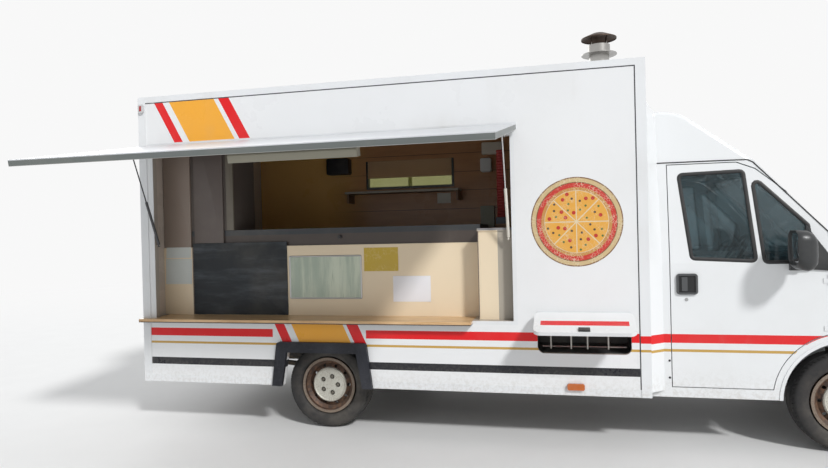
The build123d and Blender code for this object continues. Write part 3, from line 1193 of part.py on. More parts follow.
def hood(inset):
    """Volume under the fairing's skin, its front bowed about the same centre as the windscreen."""
    slope = tan(radians(FAIRING_SLOPE))
    high = FAIRING_TOP - inset
    foot = SCREEN_TOP_X - inset / sin(radians(FAIRING_SLOPE))
    back = BOX_FRONT - 10
    points = [(back, CAB_ROOF), (back, high), (foot - (high - CAB_ROOF) / slope, high), (foot, CAB_ROOF)]
    profile = make_face(Polyline(*points, close=True))
    profile = fillet(profile.vertices().sort_by(Axis.X)[-2], FAIRING_CREST - inset)
    centre = Axis((SCREEN_TOP_X - BOW_RADIUS, 0, 0), (0, 0, 1))
    swept = revolve(Plane.XZ * profile, centre, revolution_arc=34).rotate(centre, -17)
    half = CAB_ROOF_HALF - inset
    crown = half - FAIRING_TAPER
    section = [(-half, CAB_ROOF), (half, CAB_ROOF), (crown, FAIRING_TOP), (-crown, FAIRING_TOP)]
    body = swept & front_prism(section, (BOX_FRONT, SCREEN_TOP_X + 20))
    shoulders = [e for e in body.edges() if abs(e.center().Y) > crown - 2 and e.center().Z > CAB_ROOF + 1]
    return fillet([e for e in shoulders if e.center().X > BOX_FRONT + 1], FAIRING_ROUND - inset)


def coving_plan(front, half, inner):
    """Right coving seen from above: from the box's corner post to the cab's side."""
    start = BOX_FRONT + RAIL_PROUD + RUNNING_GAP
    post = BOX_HALF - POST_WIDTH - RUNNING_GAP
    return [
        (start, -BOX_HALF + 6), (front, -half - COLUMN_LIP), (front, -inner), (BOX_FRONT, -inner),
        (BOX_FRONT, -post), (start, -post),
    ]


def roof_fairing():
    """High roof moulding that carries on from the windscreen, with a coving round the box's front edge."""
    high = FAIRING_TOP + COVE_RISE
    lip = [
        Line((BOX_FRONT, FAIRING_TOP - 4), (BOX_FRONT, high)),
        ThreePointArc((BOX_FRONT, high), (BOX_FRONT + 15, FAIRING_TOP + 15), (BOX_FRONT + 56, FAIRING_TOP)),
        Line((BOX_FRONT + 56, FAIRING_TOP), (BOX_FRONT + 56, FAIRING_TOP - 4)),
        Line((BOX_FRONT + 56, FAIRING_TOP - 4), (BOX_FRONT, FAIRING_TOP - 4)),
    ]
    crown = CAB_ROOF_HALF - FAIRING_TAPER
    cove = Pos(0, crown, 0) * extrude(Plane.XZ * make_face(lip), amount=2 * crown)
    low_plan = coving_plan(COLUMN_FRONT, CAB_HALF, CAB_HALF - 100)
    high_plan = coving_plan(COLUMN_FRONT - 20, crown, crown - 30)
    foot = Pos(0, 0, WAIST) * make_face(Polyline(*low_plan, close=True))
    head = Pos(0, 0, high) * make_face(Polyline(*high_plan, close=True))
    coving = plan_prism(low_plan, (COLUMN_BOTTOM, WAIST)) + loft([foot, head], ruled=True)
    coving &= side_prism([(BOX_FRONT - 1, COLUMN_BOTTOM), (COLUMN_FRONT + 1, COLUMN_BOTTOM),
                          (COLUMN_FRONT + 1, FAIRING_TOP - 25), (BOX_FRONT - 1, high)], (-BOX_HALF, 0))
    whole = hood(0) + coving + mirrored(coving) + cove
    return whole - Pos(-1, 0, -1) * hood(FAIRING_WALL) - CAB_OUTER


def dashboard():
    """Dash moulding, steering column and wheel on the left."""
    outline = [
        (FIREWALL - 320, WAIST - 280), (FIREWALL - 280, WAIST - 80), (FIREWALL - 160, WAIST - 28),
        (FIREWALL, WAIST - 28), (FIREWALL, WAIST - 390), (FIREWALL - 220, WAIST - 430),
    ]
    reach = CAB_HALF - DOOR_THICK - DASH_GAP
    dash = side_prism(outline, (-reach, reach))
    grip = Plane.XZ * Pos(STEERING_RADIUS, 0) * RegularPolygon(STEERING_GRIP, 6)
    wheel = revolve(grip, Axis.Z) + Pos(0, 0, -22) * Cylinder(48, 40)
    for angle in (0, 120, 240):
        wheel += Rot(0, 0, angle) * Pos(STEERING_RADIUS / 2 + 5, 0, -8) * Box(STEERING_RADIUS - 10, 30, 14)
    wheel += Pos(0, 0, -160) * Cylinder(30, 250)
    return dash + Pos(FIREWALL - 390, DRIVER_Y, WAIST) * Rot(0, -STEERING_TILT, 0) * wheel


def seats():
    """Driver's seat and a double passenger bench."""
    pieces = []
    rear, front = SEAT_X
    low = CAB_FLOOR + CUSHION_Z[0]
    high = CAB_FLOOR + CUSHION_Z[1]
    for y0, y1 in SEAT_Y:
        middle = (y0 + y1) / 2
        base = slab((rear + 20, front - 40), (y0 + 40, y1 - 40), (CAB_FLOOR, low + 5))
        cushion = slab((rear, front), (y0, y1), (low, high))
        back = Pos(rear + 20, middle, high + 300) * Rot(0, -12, 0) * Box(130, y1 - y0, 640)
        head = Pos(rear - 60, middle, high + 680) * Rot(0, -12, 0) * Box(100, 260, 170)
        pieces.append(base + cushion + back + head)
    return Compound(children=pieces)


# Write every sub-part

right_tyres = {"front": tyre(WHEELBASE), "rear": tyre(0)}
right_rims = {"front": rim(WHEELBASE), "rear": rim(0)}
for end in ("front", "rear"):
    save("tyre_" + end + "_right", right_tyres[end])
    save("tyre_" + end + "_left", mirrored(right_tyres[end]))
    save("rim_" + end + "_right", right_rims[end])
    save("rim_" + end + "_left", mirrored(right_rims[end]))

for name, maker in (("knuckle", knuckle), ("cab_door", cab_door_right), ("door_glass", door_glass_right),
                    ("door_mirror", mirror_right)):
    piece = maker()
    save(name + "_right", piece)
    save(name + "_left", mirrored(piece))

for maker in (chassis_frame, rear_axle, front_subframe, engine_block, exhaust, fuel_tank, box_side_right,
              box_side_left, box_front_wall, box_rear_wall, box_roof, box_floor, box_trims, arch_flares,
              rear_lamps, marker_lamps, back_window, counter, worktop, serving_shelf, back_units, oven, flue,
              locker_box, serving_hatch, hatch_light, strut_tubes, strut_rods, locker_lid, rear_door,
              cab_shell, roof_fairing, bonnet, front_bumper, grille, headlamps, windscreen, dashboard, seats):
    save(maker.__name__, maker())
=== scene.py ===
import json
import math

import bmesh
import bpy
import numpy as np
from mathutils import Matrix, Vector


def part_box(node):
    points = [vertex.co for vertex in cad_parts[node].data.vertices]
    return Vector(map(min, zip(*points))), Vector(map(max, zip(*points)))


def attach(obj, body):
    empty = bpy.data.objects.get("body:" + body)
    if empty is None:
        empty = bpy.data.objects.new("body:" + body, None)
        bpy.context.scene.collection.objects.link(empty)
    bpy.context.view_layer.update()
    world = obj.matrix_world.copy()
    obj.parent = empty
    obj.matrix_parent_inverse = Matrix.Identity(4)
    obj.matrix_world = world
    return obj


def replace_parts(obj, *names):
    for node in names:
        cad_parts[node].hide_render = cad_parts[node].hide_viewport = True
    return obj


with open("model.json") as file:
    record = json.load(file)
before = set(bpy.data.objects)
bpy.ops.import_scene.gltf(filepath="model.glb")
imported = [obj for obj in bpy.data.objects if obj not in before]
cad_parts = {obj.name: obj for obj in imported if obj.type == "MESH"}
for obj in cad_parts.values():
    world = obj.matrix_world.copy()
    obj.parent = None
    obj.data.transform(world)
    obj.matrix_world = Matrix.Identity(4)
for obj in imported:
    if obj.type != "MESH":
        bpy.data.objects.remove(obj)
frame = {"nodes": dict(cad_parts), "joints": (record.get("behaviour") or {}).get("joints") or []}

nodes = frame["nodes"]
scene = bpy.context.scene
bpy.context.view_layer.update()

# The view
# The camera stands on the serving side at about head height, level with the roundel, and
# looks slightly towards the rear, so that the hatch's far corner comes close to the frame.
EYE = Vector((1.920, -5.860, 1.574))
TURNED_LEFT, TIPPED_DOWN, LEANING = (math.radians(angle) for angle in (13.55, 0.41, -1.39))
FOCUS_IN_PIXELS = 651
PHOTO_WIDTH = 828
SENSOR = 36.0

forward = Vector((
    -math.sin(TURNED_LEFT) * math.cos(TIPPED_DOWN),
    math.cos(TURNED_LEFT) * math.cos(TIPPED_DOWN),
    -math.sin(TIPPED_DOWN),
))
level = forward.cross(Vector((0, 0, 1))).normalized()
upright = level.cross(forward)
across = level * math.cos(LEANING) + upright * math.sin(LEANING)
above = upright * math.cos(LEANING) - level * math.sin(LEANING)

camera_data = bpy.data.cameras.new("camera")
camera_data.sensor_width = SENSOR
camera_data.lens = FOCUS_IN_PIXELS / PHOTO_WIDTH * SENSOR
camera = bpy.data.objects.new("camera", camera_data)
turn = Matrix((across, above, -forward)).transposed()
camera.matrix_world = Matrix.Translation(EYE) @ turn.to_4x4()
scene.collection.objects.link(camera)
scene.camera = camera
scene.view_settings.view_transform = "Standard"


# The studio
# A pale floor that fades into a white surround, one broad key light from high on the
# right, as the sun stood, and a weaker one from behind for the far side.
FLOOR_REACH = 45.0
FADE_FROM, FADE_TO = 6.0, 17.0
SKY_STRENGTH = 0.52
LAMPS = (
    # name, way that its light travels, strength, spread in degrees
    ("key", (-0.92, 1.00, -1.05), 2.35, 7),
    ("fill", (0.75, -1.00, -0.55), 0.75, 40),
)


def colour(red, green, blue):
    """A colour socket's four numbers."""
    return (red, green, blue, 1.0)


def connect(tree, made, values):
    """A node with each named socket set to a number or linked to another node's output."""
    for name, value in values.items():
        socket = made.inputs[name]
        if isinstance(value, bpy.types.NodeSocket):
            tree.links.new(value, socket)
        else:
            socket.default_value = value
    return made


def add(tree, kind, values=None, **settings):
    """One shader node: values are its sockets' numbers or links by name, settings its properties."""
    made = tree.nodes.new("ShaderNode" + kind)
    for name, value in settings.items():
        setattr(made, name, value)
    return connect(tree, made, values or {})


def calc(tree, operation, *values):
    """The result of one Math node."""
    return add(tree, "Math", dict(enumerate(values)), operation=operation).outputs[0]


def times(tree, first, *others):
    """The product of all the values."""
    for other in others:
        first = calc(tree, "MULTIPLY", first, other)
    return first


def plus(tree, first, *others):
    """The sum of all the values."""
    for other in others:
        first = calc(tree, "ADD", first, other)
    return first


def minus(tree, first, second):
    """The first value less the second."""
    return calc(tree, "SUBTRACT", first, second)


def mix(tree, share, first, second):
    """Two colours blended by a share from 0 to 1."""
    return add(tree, "Mix", {0: share, 6: first, 7: second}, data_type="RGBA").outputs[2]


def remap(tree, value, low, high, to_low=0.0, to_high=1.0):
    """A value carried from one range to another, held at the ends, with a smooth step."""
    names = ("Value", "From Min", "From Max", "To Min", "To Max")
    values = dict(zip(names, (value, low, high, to_low, to_high)))
    return add(tree, "MapRange", values, interpolation_type="SMOOTHSTEP").outputs["Result"]


def own_place(tree):
    """A point's place in the object's own coordinates, in metres."""
    return add(tree, "TexCoord").outputs["Object"]


def new_material(name):
    """An empty procedural material, its tree, and a point's place."""
    made = bpy.data.materials.new(name)
    made.use_nodes = True
    made.node_tree.nodes.clear()
    return made, made.node_tree, own_place(made.node_tree)


def surface(tree, shader):
    """The shader goes to the material's output."""
    add(tree, "OutputMaterial", {"Surface": shader.outputs[0]})


def noise(tree, place, scale, detail=4.0, rough=0.55, stretch=(1, 1, 1)):
    """Soft noise from 0 to 1 with that many features a metre, closer together where stretched."""
    if stretch != (1, 1, 1):
        place = add(tree, "Mapping", {"Vector": place, "Scale": stretch}).outputs[0]
    values = {"Vector": place, "Scale": scale, "Detail": detail, "Roughness": rough}
    return add(tree, "TexNoise", values).outputs[0]


def seen_directly(tree):
    """1 for rays that see the surround itself, in a mirror or through glass."""
    path = add(tree, "LightPath").outputs
    mirrored = calc(tree, "MAXIMUM", path["Is Glossy Ray"], path["Is Transmission Ray"])
    return calc(tree, "MAXIMUM", path["Is Camera Ray"], mirrored)


SURROUND = colour(0.94, 0.94, 0.94)
scene.world = bpy.data.worlds.new("surround")
scene.world.use_nodes = True
tree = scene.world.node_tree
tree.nodes.clear()
sky = add(tree, "Background", {"Color": colour(0.96, 0.98, 1.0), "Strength": SKY_STRENGTH})
white = add(tree, "Background", {"Color": SURROUND, "Strength": 1.0})
either = add(tree, "MixShader", {0: seen_directly(tree), 1: sky.outputs[0], 2: white.outputs[0]})
add(tree, "OutputWorld", {"Surface": either.outputs[0]})

for name, travels, strength, spread in LAMPS:
    lamp = bpy.data.lights.new(name, "SUN")
    lamp.energy = strength
    lamp.angle = math.radians(spread)
    holder = bpy.data.objects.new(name, lamp)
    holder.rotation_mode = "QUATERNION"
    holder.rotation_quaternion = Vector(travels).to_track_quat("-Z", "Y")
    scene.collection.objects.link(holder)

floor_material, tree, place = new_material("floor")
from_middle = add(tree, "VectorMath", {0: place}, operation="LENGTH").outputs["Value"]
fade = times(tree, remap(tree, from_middle, FADE_FROM, FADE_TO), seen_directly(tree))
tone = mix(tree, noise(tree, place, 3.0), colour(0.74, 0.74, 0.735), colour(0.78, 0.78, 0.775))
ground = add(tree, "BsdfPrincipled", {"Base Color": tone, "Roughness": 0.7})
glow = add(tree, "Emission", {"Color": SURROUND, "Strength": 1.0})
surface(tree, add(tree, "MixShader", {0: fade, 1: ground.outputs[0], 2: glow.outputs[0]}))

floor_mesh = bpy.data.meshes.new("floor")
around_it = ((-1, -1), (1, -1), (1, 1), (-1, 1))
floor_mesh.from_pydata([(x * FLOOR_REACH, y * FLOOR_REACH, 0) for x, y in around_it], [], [(0, 1, 2, 3)])
floor_mesh.materials.append(floor_material)
floor_object = bpy.data.objects.new("floor", floor_mesh)
scene.collection.objects.link(floor_object)


# Kitchen box walls
# Sandwich panels with a white glass-fibre skin outside and a washable lining inside. The
# stripes are cut from film: a red band, a gold line and a dark band, and slanted bars.
RED = colour(0.720, 0.008, 0.012)
AMBER = colour(0.860, 0.400, 0.042)
GOLD = colour(0.540, 0.330, 0.080)
CHARCOAL = colour(0.018, 0.019, 0.024)
INKS = {"Red": RED, "Gold": GOLD, "Dark": CHARCOAL}
SKIN_WHITE = colour(0.800, 0.808, 0.816)
DIRT = colour(0.42, 0.38, 0.32)
LOW_GLOSS = {"Specular IOR Level": 0.28}
BOX_BANDS = (
    # lowest and highest level, in the order of the inks
    (0.741, 0.805), (0.677, 0.695), (0.503, 0.560),
)
BOX_BANDS_ALONG = (-1.530, 2.376)
RED_BREAK_X, RED_BREAK_Z = (-0.414, 0.366), (0.72, 0.82)
BARS = (
    # lean, level where the bars' places count, lowest and highest level, (from, to, colour)
    (0.46, 0.865, 0.695, 0.857, ((-0.405, -0.323, RED), (-0.262, 0.169, AMBER), (0.198, 0.292, RED))),
    (0.54, 2.683, 2.200, 2.679, ((-1.438, -1.360, RED), (-1.299, -0.889, AMBER), (-0.848, -0.754, RED))),
)
JOINT_X, JOINT_Z, JOINT_HALF = 2.3745, 2.6800, 0.0045
LINING_DEPTH = 0.005
LINING_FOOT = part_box("box_floor")[0].z
BOARD_HEIGHT, BOARD_GAP_SHARE = 0.198, 0.025
# Dirt is film, streaks, splash, and the level that the splash reaches.
BOX_DIRT = (0.05, 0.10, 0.45, 0.62)
ROOF_DIRT = (0.35, 0.25, 0.0, 0.5)


def group(name, inputs, outputs):
    """An empty node group with its inner ends: inputs and outputs are names with their socket kinds."""
    made = bpy.data.node_groups.new(name, "ShaderNodeTree")
    for in_out, sockets in (("INPUT", inputs), ("OUTPUT", outputs)):
        for title, kind in sockets.items():
            made.interface.new_socket(title, in_out=in_out, socket_type="NodeSocket" + kind)
    return made, made.nodes.new("NodeGroupInput").outputs, made.nodes.new("NodeGroupOutput").inputs


def use(tree, made, values):
    """A group's outputs, placed in a material with its own values."""
    return connect(tree, add(tree, "Group", node_tree=made), values).outputs


def split(tree, place):
    """A place's or a direction's x, y and z."""
    return list(add(tree, "SeparateXYZ", {0: place}).outputs)


def over(tree, value, level):
    """1 where a value is over a level."""
    return calc(tree, "GREATER_THAN", value, level)


def under(tree, value, level):
    """1 where a value is under a level."""
    return calc(tree, "LESS_THAN", value, level)


def between(tree, value, low, high):
    """1 where a value lies between two others."""
    return times(tree, over(tree, value, low), under(tree, value, high))


# Road dirt: soft cloudy film, streaks that run down, and splashes that thicken near the ground.
weather, put, out = group(
    "weather",
    {"Colour": "Color", "Dirt": "Color", "Film": "Float", "Streaks": "Float", "Splash": "Float",
     "Splash Top": "Float"},
    {"Colour": "Color", "Dirtiness": "Float"})
place = own_place(weather)
height = split(weather, place)[2]
cloud = remap(weather, noise(weather, place, 2.2, 6.0, 0.6), 0.42, 0.75)
streak = remap(weather, noise(weather, place, 9.0, 3.0, 0.5, (1, 1, 0.06)), 0.52, 0.80)
near_ground = minus(weather, 1.0, remap(weather, height, 0.25, put["Splash Top"]))
spots = remap(weather, noise(weather, place, 38.0, 5.0, 0.7), 0.38, 0.72)
splash = times(weather, near_ground, spots, put["Splash"])
runs = times(weather, streak, cloud, put["Streaks"])
dirty = calc(weather, "MINIMUM", plus(weather, times(weather, cloud, put["Film"]), runs, splash), 1.0)
weather.links.new(mix(weather, dirty, put["Colour"], put["Dirt"]), out["Colour"])
weather.links.new(dirty, out["Dirtiness"])

# Long bands along both flanks, between two levels each.
level_sockets = {f"{title} {end}": "Float" for title in INKS for end in ("Low", "High")}
bands, put, out = group("bands", {"Colour": "Color", **level_sockets, "Rear": "Float", "Front": "Float"},
                        {"Colour": "Color"})
x, _, z = split(bands, own_place(bands))
along = between(bands, x, put["Rear"], put["Front"])
banded = put["Colour"]
for title, ink in INKS.items():
    stripe = times(bands, between(bands, z, put[title + " Low"], put[title + " High"]), along)
    banded = mix(bands, stripe, banded, ink)
bands.links.new(banded, out["Colour"])


def with_bands(tree, tint, levels, rear, front):
    """The colour with a band of each ink between its pair of levels, from the rear to the front."""
    values = {"Colour": tint, "Rear": rear, "Front": front}
    for title, (low, high) in zip(INKS, levels):
        values[title + " Low"] = low
        values[title + " High"] = high
    return use(tree, bands, values)["Colour"]


def finish(name, base, rough, dirt=(0.10, 0.12, 0.35, 0.75), metallic=0.0, coat=0.0, bump=None,
           vary=0.08, dirt_colour=DIRT, paint=None, extra=None):
    """
    A weathered surface. The base colour darkens by a share `vary` in soft clouds, `paint` may
    change it and its roughness, and the weather group lays dirt over it. The roughness rises by
    0.35 of the dirtiness and drifts by 0.05 each way. `bump` is a depth and its grains a metre,
    and `extra` holds other sockets of the shader.
    """
    made, tree, place = new_material(name)
    drift = noise(tree, place, 1.7, 5.0, 0.6)
    darker = colour(*(channel * (1 - vary) for channel in base[:3]))
    tint = mix(tree, drift, darker, base)
    if paint:
        tint, rough = paint(tree, place, tint, rough)
    names = ("Film", "Streaks", "Splash", "Splash Top")
    soiled = use(tree, weather, {"Colour": tint, "Dirt": dirt_colour, **dict(zip(names, dirt))})
    roughness = plus(tree, rough, times(tree, soiled["Dirtiness"], 0.35),
                     times(tree, minus(tree, drift, 0.5), 0.10))
    values = {"Base Color": soiled["Colour"], "Roughness": roughness, "Metallic": metallic}
    if coat:
        values.update({"Coat Weight": coat, "Coat Roughness": 0.08})
    if bump:
        grain = {"Height": noise(tree, place, bump[1], 3.0), "Distance": bump[0], "Strength": 1.0}
        values["Normal"] = add(tree, "Bump", grain).outputs[0]
    values.update(extra or {})
    surface(tree, add(tree, "BsdfPrincipled", values))
    return made


def dress(names, material):
    """CAD nodes keep their shape and take this material."""
    for name in names.split():
        mesh = nodes[name].data
        mesh.materials.clear()
        mesh.materials.append(material)


def washed_lining(tree, place):
    """Cream washable board, greyer in soft clouds."""
    return mix(tree, noise(tree, place, 2.5, 5.0), colour(0.47, 0.41, 0.36), colour(0.62, 0.54, 0.47))


def boarded_lining(tree, place):
    """Brown boards laid along the wall, dark where they meet, and a lighter patch at the rear."""
    x, _, z = split(tree, place)
    grain = noise(tree, place, 20.0, 6.0, 0.65, (0.12, 1, 1))
    boards = mix(tree, grain, colour(0.36, 0.165, 0.075), colour(0.58, 0.300, 0.140))
    up_board = calc(tree, "FRACT", calc(tree, "DIVIDE", z, BOARD_HEIGHT))
    boards = mix(tree, under(tree, up_board, BOARD_GAP_SHARE), boards, colour(0.14, 0.06, 0.03))
    rear = minus(tree, 1.0, remap(tree, x, -0.80, -0.10))
    return mix(tree, rear, boards, colour(0.80, 0.47, 0.15))


def box_paint(inner_low, inner_high, lining):
    """Side skins: white with film outside, and the lining between two places across."""
    def paint(tree, place, tint, rough):
        x, y, z = split(tree, place)
        gap = times(tree, between(tree, x, *RED_BREAK_X), between(tree, z, *RED_BREAK_Z))
        result = mix(tree, gap, with_bands(tree, tint, BOX_BANDS, *BOX_BANDS_ALONG), tint)
        for lean, level, low, high, bars in BARS:
            slid = plus(tree, x, times(tree, minus(tree, z, level), lean))
            inside = between(tree, z, low, high)
            for start, end, ink in bars:
                result = mix(tree, times(tree, between(tree, slid, start, end), inside), result, ink)
        joints = [between(tree, axis, middle - JOINT_HALF, middle + JOINT_HALF)
                  for axis, middle in ((x, JOINT_X), (z, JOINT_Z))]
        result = mix(tree, calc(tree, "MAXIMUM", *joints), result, colour(0.10, 0.10, 0.11))
        indoors = times(tree, between(tree, y, inner_low, inner_high), over(tree, z, LINING_FOOT))
        return mix(tree, indoors, result, lining(tree, place)), rough
    return paint


def lined(low, high, axis):
    """Plain skin outside, and the washed lining between two values along an axis."""
    def paint(tree, place, tint, rough):
        inside = between(tree, split(tree, place)[axis], low, high)
        return mix(tree, inside, tint, washed_lining(tree, place)), rough
    return paint


def skin(name, paint, dirt=BOX_DIRT, rough=0.28):
    """The box's glass-fibre skin, gently rippled."""
    return finish(name, SKIN_WHITE, rough, dirt, coat=0.10, bump=(0.0006, 9.0), vary=0.03, paint=paint,
                  extra=LOW_GLOSS)


side_low, side_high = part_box("box_side_right")
far_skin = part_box("box_side_left")[1].y
roof_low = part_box("box_roof")[0].z
dress("box_side_right", skin("box_skin_right", box_paint(-far_skin + LINING_DEPTH, 0.0, washed_lining)))
dress("box_side_left", skin("box_skin_left", box_paint(0.0, far_skin - LINING_DEPTH, boarded_lining)))
dress("box_rear_wall rear_door", skin("box_skin_rear", lined(side_low.x + LINING_DEPTH, 0.0, 0)))
dress("box_front_wall", skin("box_skin_front", lined(0.0, side_high.x - LINING_DEPTH, 0)))
dress("box_roof", skin("box_skin_roof", lined(0.0, roof_low + LINING_DEPTH, 2), ROOF_DIRT, 0.35))

# Round emblem
# A printed disc on the front of the serving side, stuck on in layers of film that the sun has
# crazed. It shows a whole pizza cut into slices.
EMBLEM_X, EMBLEM_Z, EMBLEM_RADIUS = 1.960, 1.600, 0.320
CHEESE_RADIUS = 0.220
FILM = 0.0006
SLICES, SLICE_GAP = 8, 0.0075
FIRST_SPOT, LAST_SPOT, SPOT_TURN = 5, 62, math.radians(137.5)
SPOTS_FROM_EDGE, SPOTS_FROM_CUTS = 0.012, 0.017
LINE_BROWN = colour(0.200, 0.090, 0.035)
SMEARS = (0.05, 0.05, 0.0, 0.5)
EMBLEM_LAYERS = (
    # name, way in from the rim, ink
    ("emblem_rim", 0.0, LINE_BROWN),
    ("emblem_border", 0.008, colour(0.640, 0.480, 0.250)),
    ("emblem_line", 0.036, LINE_BROWN),
    ("emblem_field", 0.042, colour(0.600, 0.035, 0.024)),
    ("emblem_crust", 0.074, colour(0.560, 0.270, 0.070)),
    ("emblem_board", 0.096, colour(0.760, 0.640, 0.430)),
)
TOPPINGS = (
    # name, radius, ink
    ("emblem_sauce", 0.0135, colour(0.520, 0.030, 0.018)),
    ("emblem_olives", 0.0085, colour(0.070, 0.045, 0.030)),
    ("emblem_herbs", 0.0080, colour(0.100, 0.170, 0.045)),
)
SLICES_LAYER = len(EMBLEM_LAYERS)
DISC_STEPS, SPOT_STEPS = 96, 16
full_turn = 2 * math.pi


def rounded(width, height, corner, steps=6):
    """A rounded rectangle's outline, anticlockwise: at each corner a quarter circle of that many steps."""
    turns = np.linspace(0, math.pi / 2, steps + 1)
    quarters = np.arange(4)[:, None] * math.pi / 2
    angle = (quarters + turns).ravel()
    sign_x = np.repeat([1, -1, -1, 1], steps + 1)
    sign_y = np.repeat([1, 1, -1, -1], steps + 1)
    return np.stack([sign_x * (width / 2 - corner) + corner * np.cos(angle),
                     sign_y * (height / 2 - corner) + corner * np.sin(angle)], 1)


def at_level(outline, level):
    """A flat outline's points at one height."""
    return np.column_stack([outline, np.full(len(outline), level)])


def solid(points, closed=False):
    """A skin over rings of points: quads between neighbours, and two lids unless it closes on itself."""
    rows, columns = points.shape[:2]
    row, column = np.meshgrid(np.arange(rows if closed else rows - 1), np.arange(columns), indexing="ij")
    after_row, after_column = (row + 1) % rows, (column + 1) % columns
    corners = [row * columns + column, row * columns + after_column,
               after_row * columns + after_column, after_row * columns + column]
    quads = np.stack(corners, 2).reshape(-1, 4).tolist()
    if not closed:
        quads += [list(range(columns)), list(range((rows - 1) * columns, rows * columns))]
    return points.reshape(-1, 3), quads


def plate(width, height, corner, depth, edge=0.001, steps=6):
    """A flat piece standing on z = 0: a straight side, then its rim rounded by a quarter circle."""
    turns = np.linspace(0, math.pi / 2, 4)
    rings = [(0.0, 0.0)]
    rings += [(edge * (1 - math.cos(turn)), depth - edge + edge * math.sin(turn)) for turn in turns]
    return solid(np.array([
        at_level(rounded(width - 2 * inset, height - 2 * inset, max(corner - inset, 1e-5), steps), lift)
        for inset, lift in rings]))


def placed(shape, origin, right=(1, 0, 0), up=(0, 0, 1)):
    """A shape drawn flat, set at a place: its x runs right, its y up, and its z out of the surface."""
    right, up = (np.array(axis, float) / np.linalg.norm(axis) for axis in (right, up))
    axes = np.array([right, up, np.cross(right, up)])
    return shape[0] @ axes + np.array(origin, float), shape[1]


def piece(name, shapes, material, body="truck", crease=35, merge=0.0):
    """One object of the given shapes, smooth but for edges sharper than the crease, riding on a body."""
    starts = np.cumsum([0] + [len(points) for points, _ in shapes])
    faces = [[corner + start for corner in face] for start, shape in zip(starts, shapes) for face in shape[1]]
    mesh = bpy.data.meshes.new(name)
    mesh.from_pydata(np.concatenate([points for points, _ in shapes]).tolist(), [], faces)
    checked = bmesh.new()
    checked.from_mesh(mesh)
    if merge:
        bmesh.ops.remove_doubles(checked, verts=checked.verts, dist=merge)
    bmesh.ops.recalc_face_normals(checked, faces=checked.faces)
    checked.to_mesh(mesh)
    checked.free()
    mesh.shade_smooth()
    mesh.set_sharp_from_angle(angle=math.radians(crease))
    mesh.materials.append(material)
    made = bpy.data.objects.new(name, mesh)
    scene.collection.objects.link(made)
    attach(made, body)
    return made


def circle(radius, steps):
    """A circle's points in its own plane."""
    angle = np.linspace(0, full_turn, steps, endpoint=False)
    return radius * np.stack([np.cos(angle), np.sin(angle)], 1)


def slice_outline(start, end, outer, gap, steps=10):
    """A slice: an arc of the outer circle and a tip, drawn in by half the gap from both cuts."""
    middle = (start + end) / 2
    tip = gap / 2 / math.sin((end - start) / 2) * np.array([math.cos(middle), math.sin(middle)])
    trim = gap / 2 / outer
    angle = np.linspace(start + trim, end - trim, steps)
    return np.vstack([tip, np.stack([outer * np.cos(angle), outer * np.sin(angle)], 1)])


def film(outline, layer):
    """A cut piece of film on the emblem: its outline at two levels, that many layers up."""
    shape = solid(np.array([at_level(outline, level * FILM) for level in (layer, layer + 1)]))
    return placed(shape, (EMBLEM_X, side_low.y, EMBLEM_Z))


# Sun-crazed film: a net of fine cracks through which the paler backing shows.
crazing, put, out = group(
    "crazing", {"Colour": "Color", "Backing": "Color", "Cells": "Float", "Amount": "Float"},
    {"Colour": "Color", "Cracks": "Float"})
place = own_place(crazing)
wobble = add(crazing, "TexNoise", {"Vector": place, "Scale": 40.0}).outputs["Color"]
wobble = add(crazing, "VectorMath", {0: wobble, "Scale": 0.02}, operation="SCALE").outputs[0]
shifted = add(crazing, "VectorMath", {0: place, 1: wobble}, operation="ADD").outputs[0]
cells = add(crazing, "TexVoronoi", {"Vector": shifted, "Scale": put["Cells"]}, feature="DISTANCE_TO_EDGE")
cracks = minus(crazing, 1.0, remap(crazing, cells.outputs["Distance"], 0.02, 0.09))
patchy = remap(crazing, noise(crazing, place, 14.0), 0.40, 0.62)
cracks = times(crazing, cracks, patchy, put["Amount"])
crazing.links.new(mix(crazing, cracks, put["Colour"], put["Backing"]), out["Colour"])
crazing.links.new(cracks, out["Cracks"])


def crazed(amount=0.7, cells=55.0, backing=colour(0.75, 0.66, 0.48)):
    """A paint function that lays the crazing over a film's own colour."""
    def paint(tree, place, tint, rough):
        worn = use(tree, crazing, {"Colour": tint, "Backing": backing, "Cells": cells, "Amount": amount})
        return worn["Colour"], plus(tree, rough, times(tree, worn["Cracks"], 0.2))
    return paint


def printed(name, tint, **more):
    """Film in one ink."""
    return finish(name, tint, 0.38, SMEARS, bump=(0.0002, 70.0), vary=0.18, paint=crazed(**more))


for layer, (name, inset, ink) in enumerate(EMBLEM_LAYERS):
    piece(name, [film(circle(EMBLEM_RADIUS - inset, DISC_STEPS), layer)], printed(name, ink))
slice_turn = full_turn / SLICES
cuts = np.arange(SLICES) * slice_turn
piece("emblem_slices",
      [film(slice_outline(cut, cut + slice_turn, CHEESE_RADIUS, SLICE_GAP), SLICES_LAYER)
       for cut in cuts],
      printed("emblem_slices", colour(0.800, 0.400, 0.060), amount=0.4))
# The toppings spiral outwards by a constant turn, and none lies on a cut.
step = np.arange(FIRST_SPOT, LAST_SPOT)
from_middle = np.sqrt((step + 0.5) / LAST_SPOT) * (CHEESE_RADIUS - SPOTS_FROM_EDGE)
swing = step * SPOT_TURN
from_cut = np.abs((swing / slice_turn + 0.5) % 1 - 0.5) * slice_turn * from_middle
spots = from_middle[:, None] * np.stack([np.cos(swing), np.sin(swing)], 1)
spots = spots[from_cut > SPOTS_FROM_CUTS]
for first, (name, radius, ink) in enumerate(TOPPINGS):
    dots = [film(circle(radius, SPOT_STEPS) + spot, SLICES_LAYER + 1)
            for spot in spots[first::len(TOPPINGS)]]
    piece(name, dots, printed(name, ink, amount=0.3))

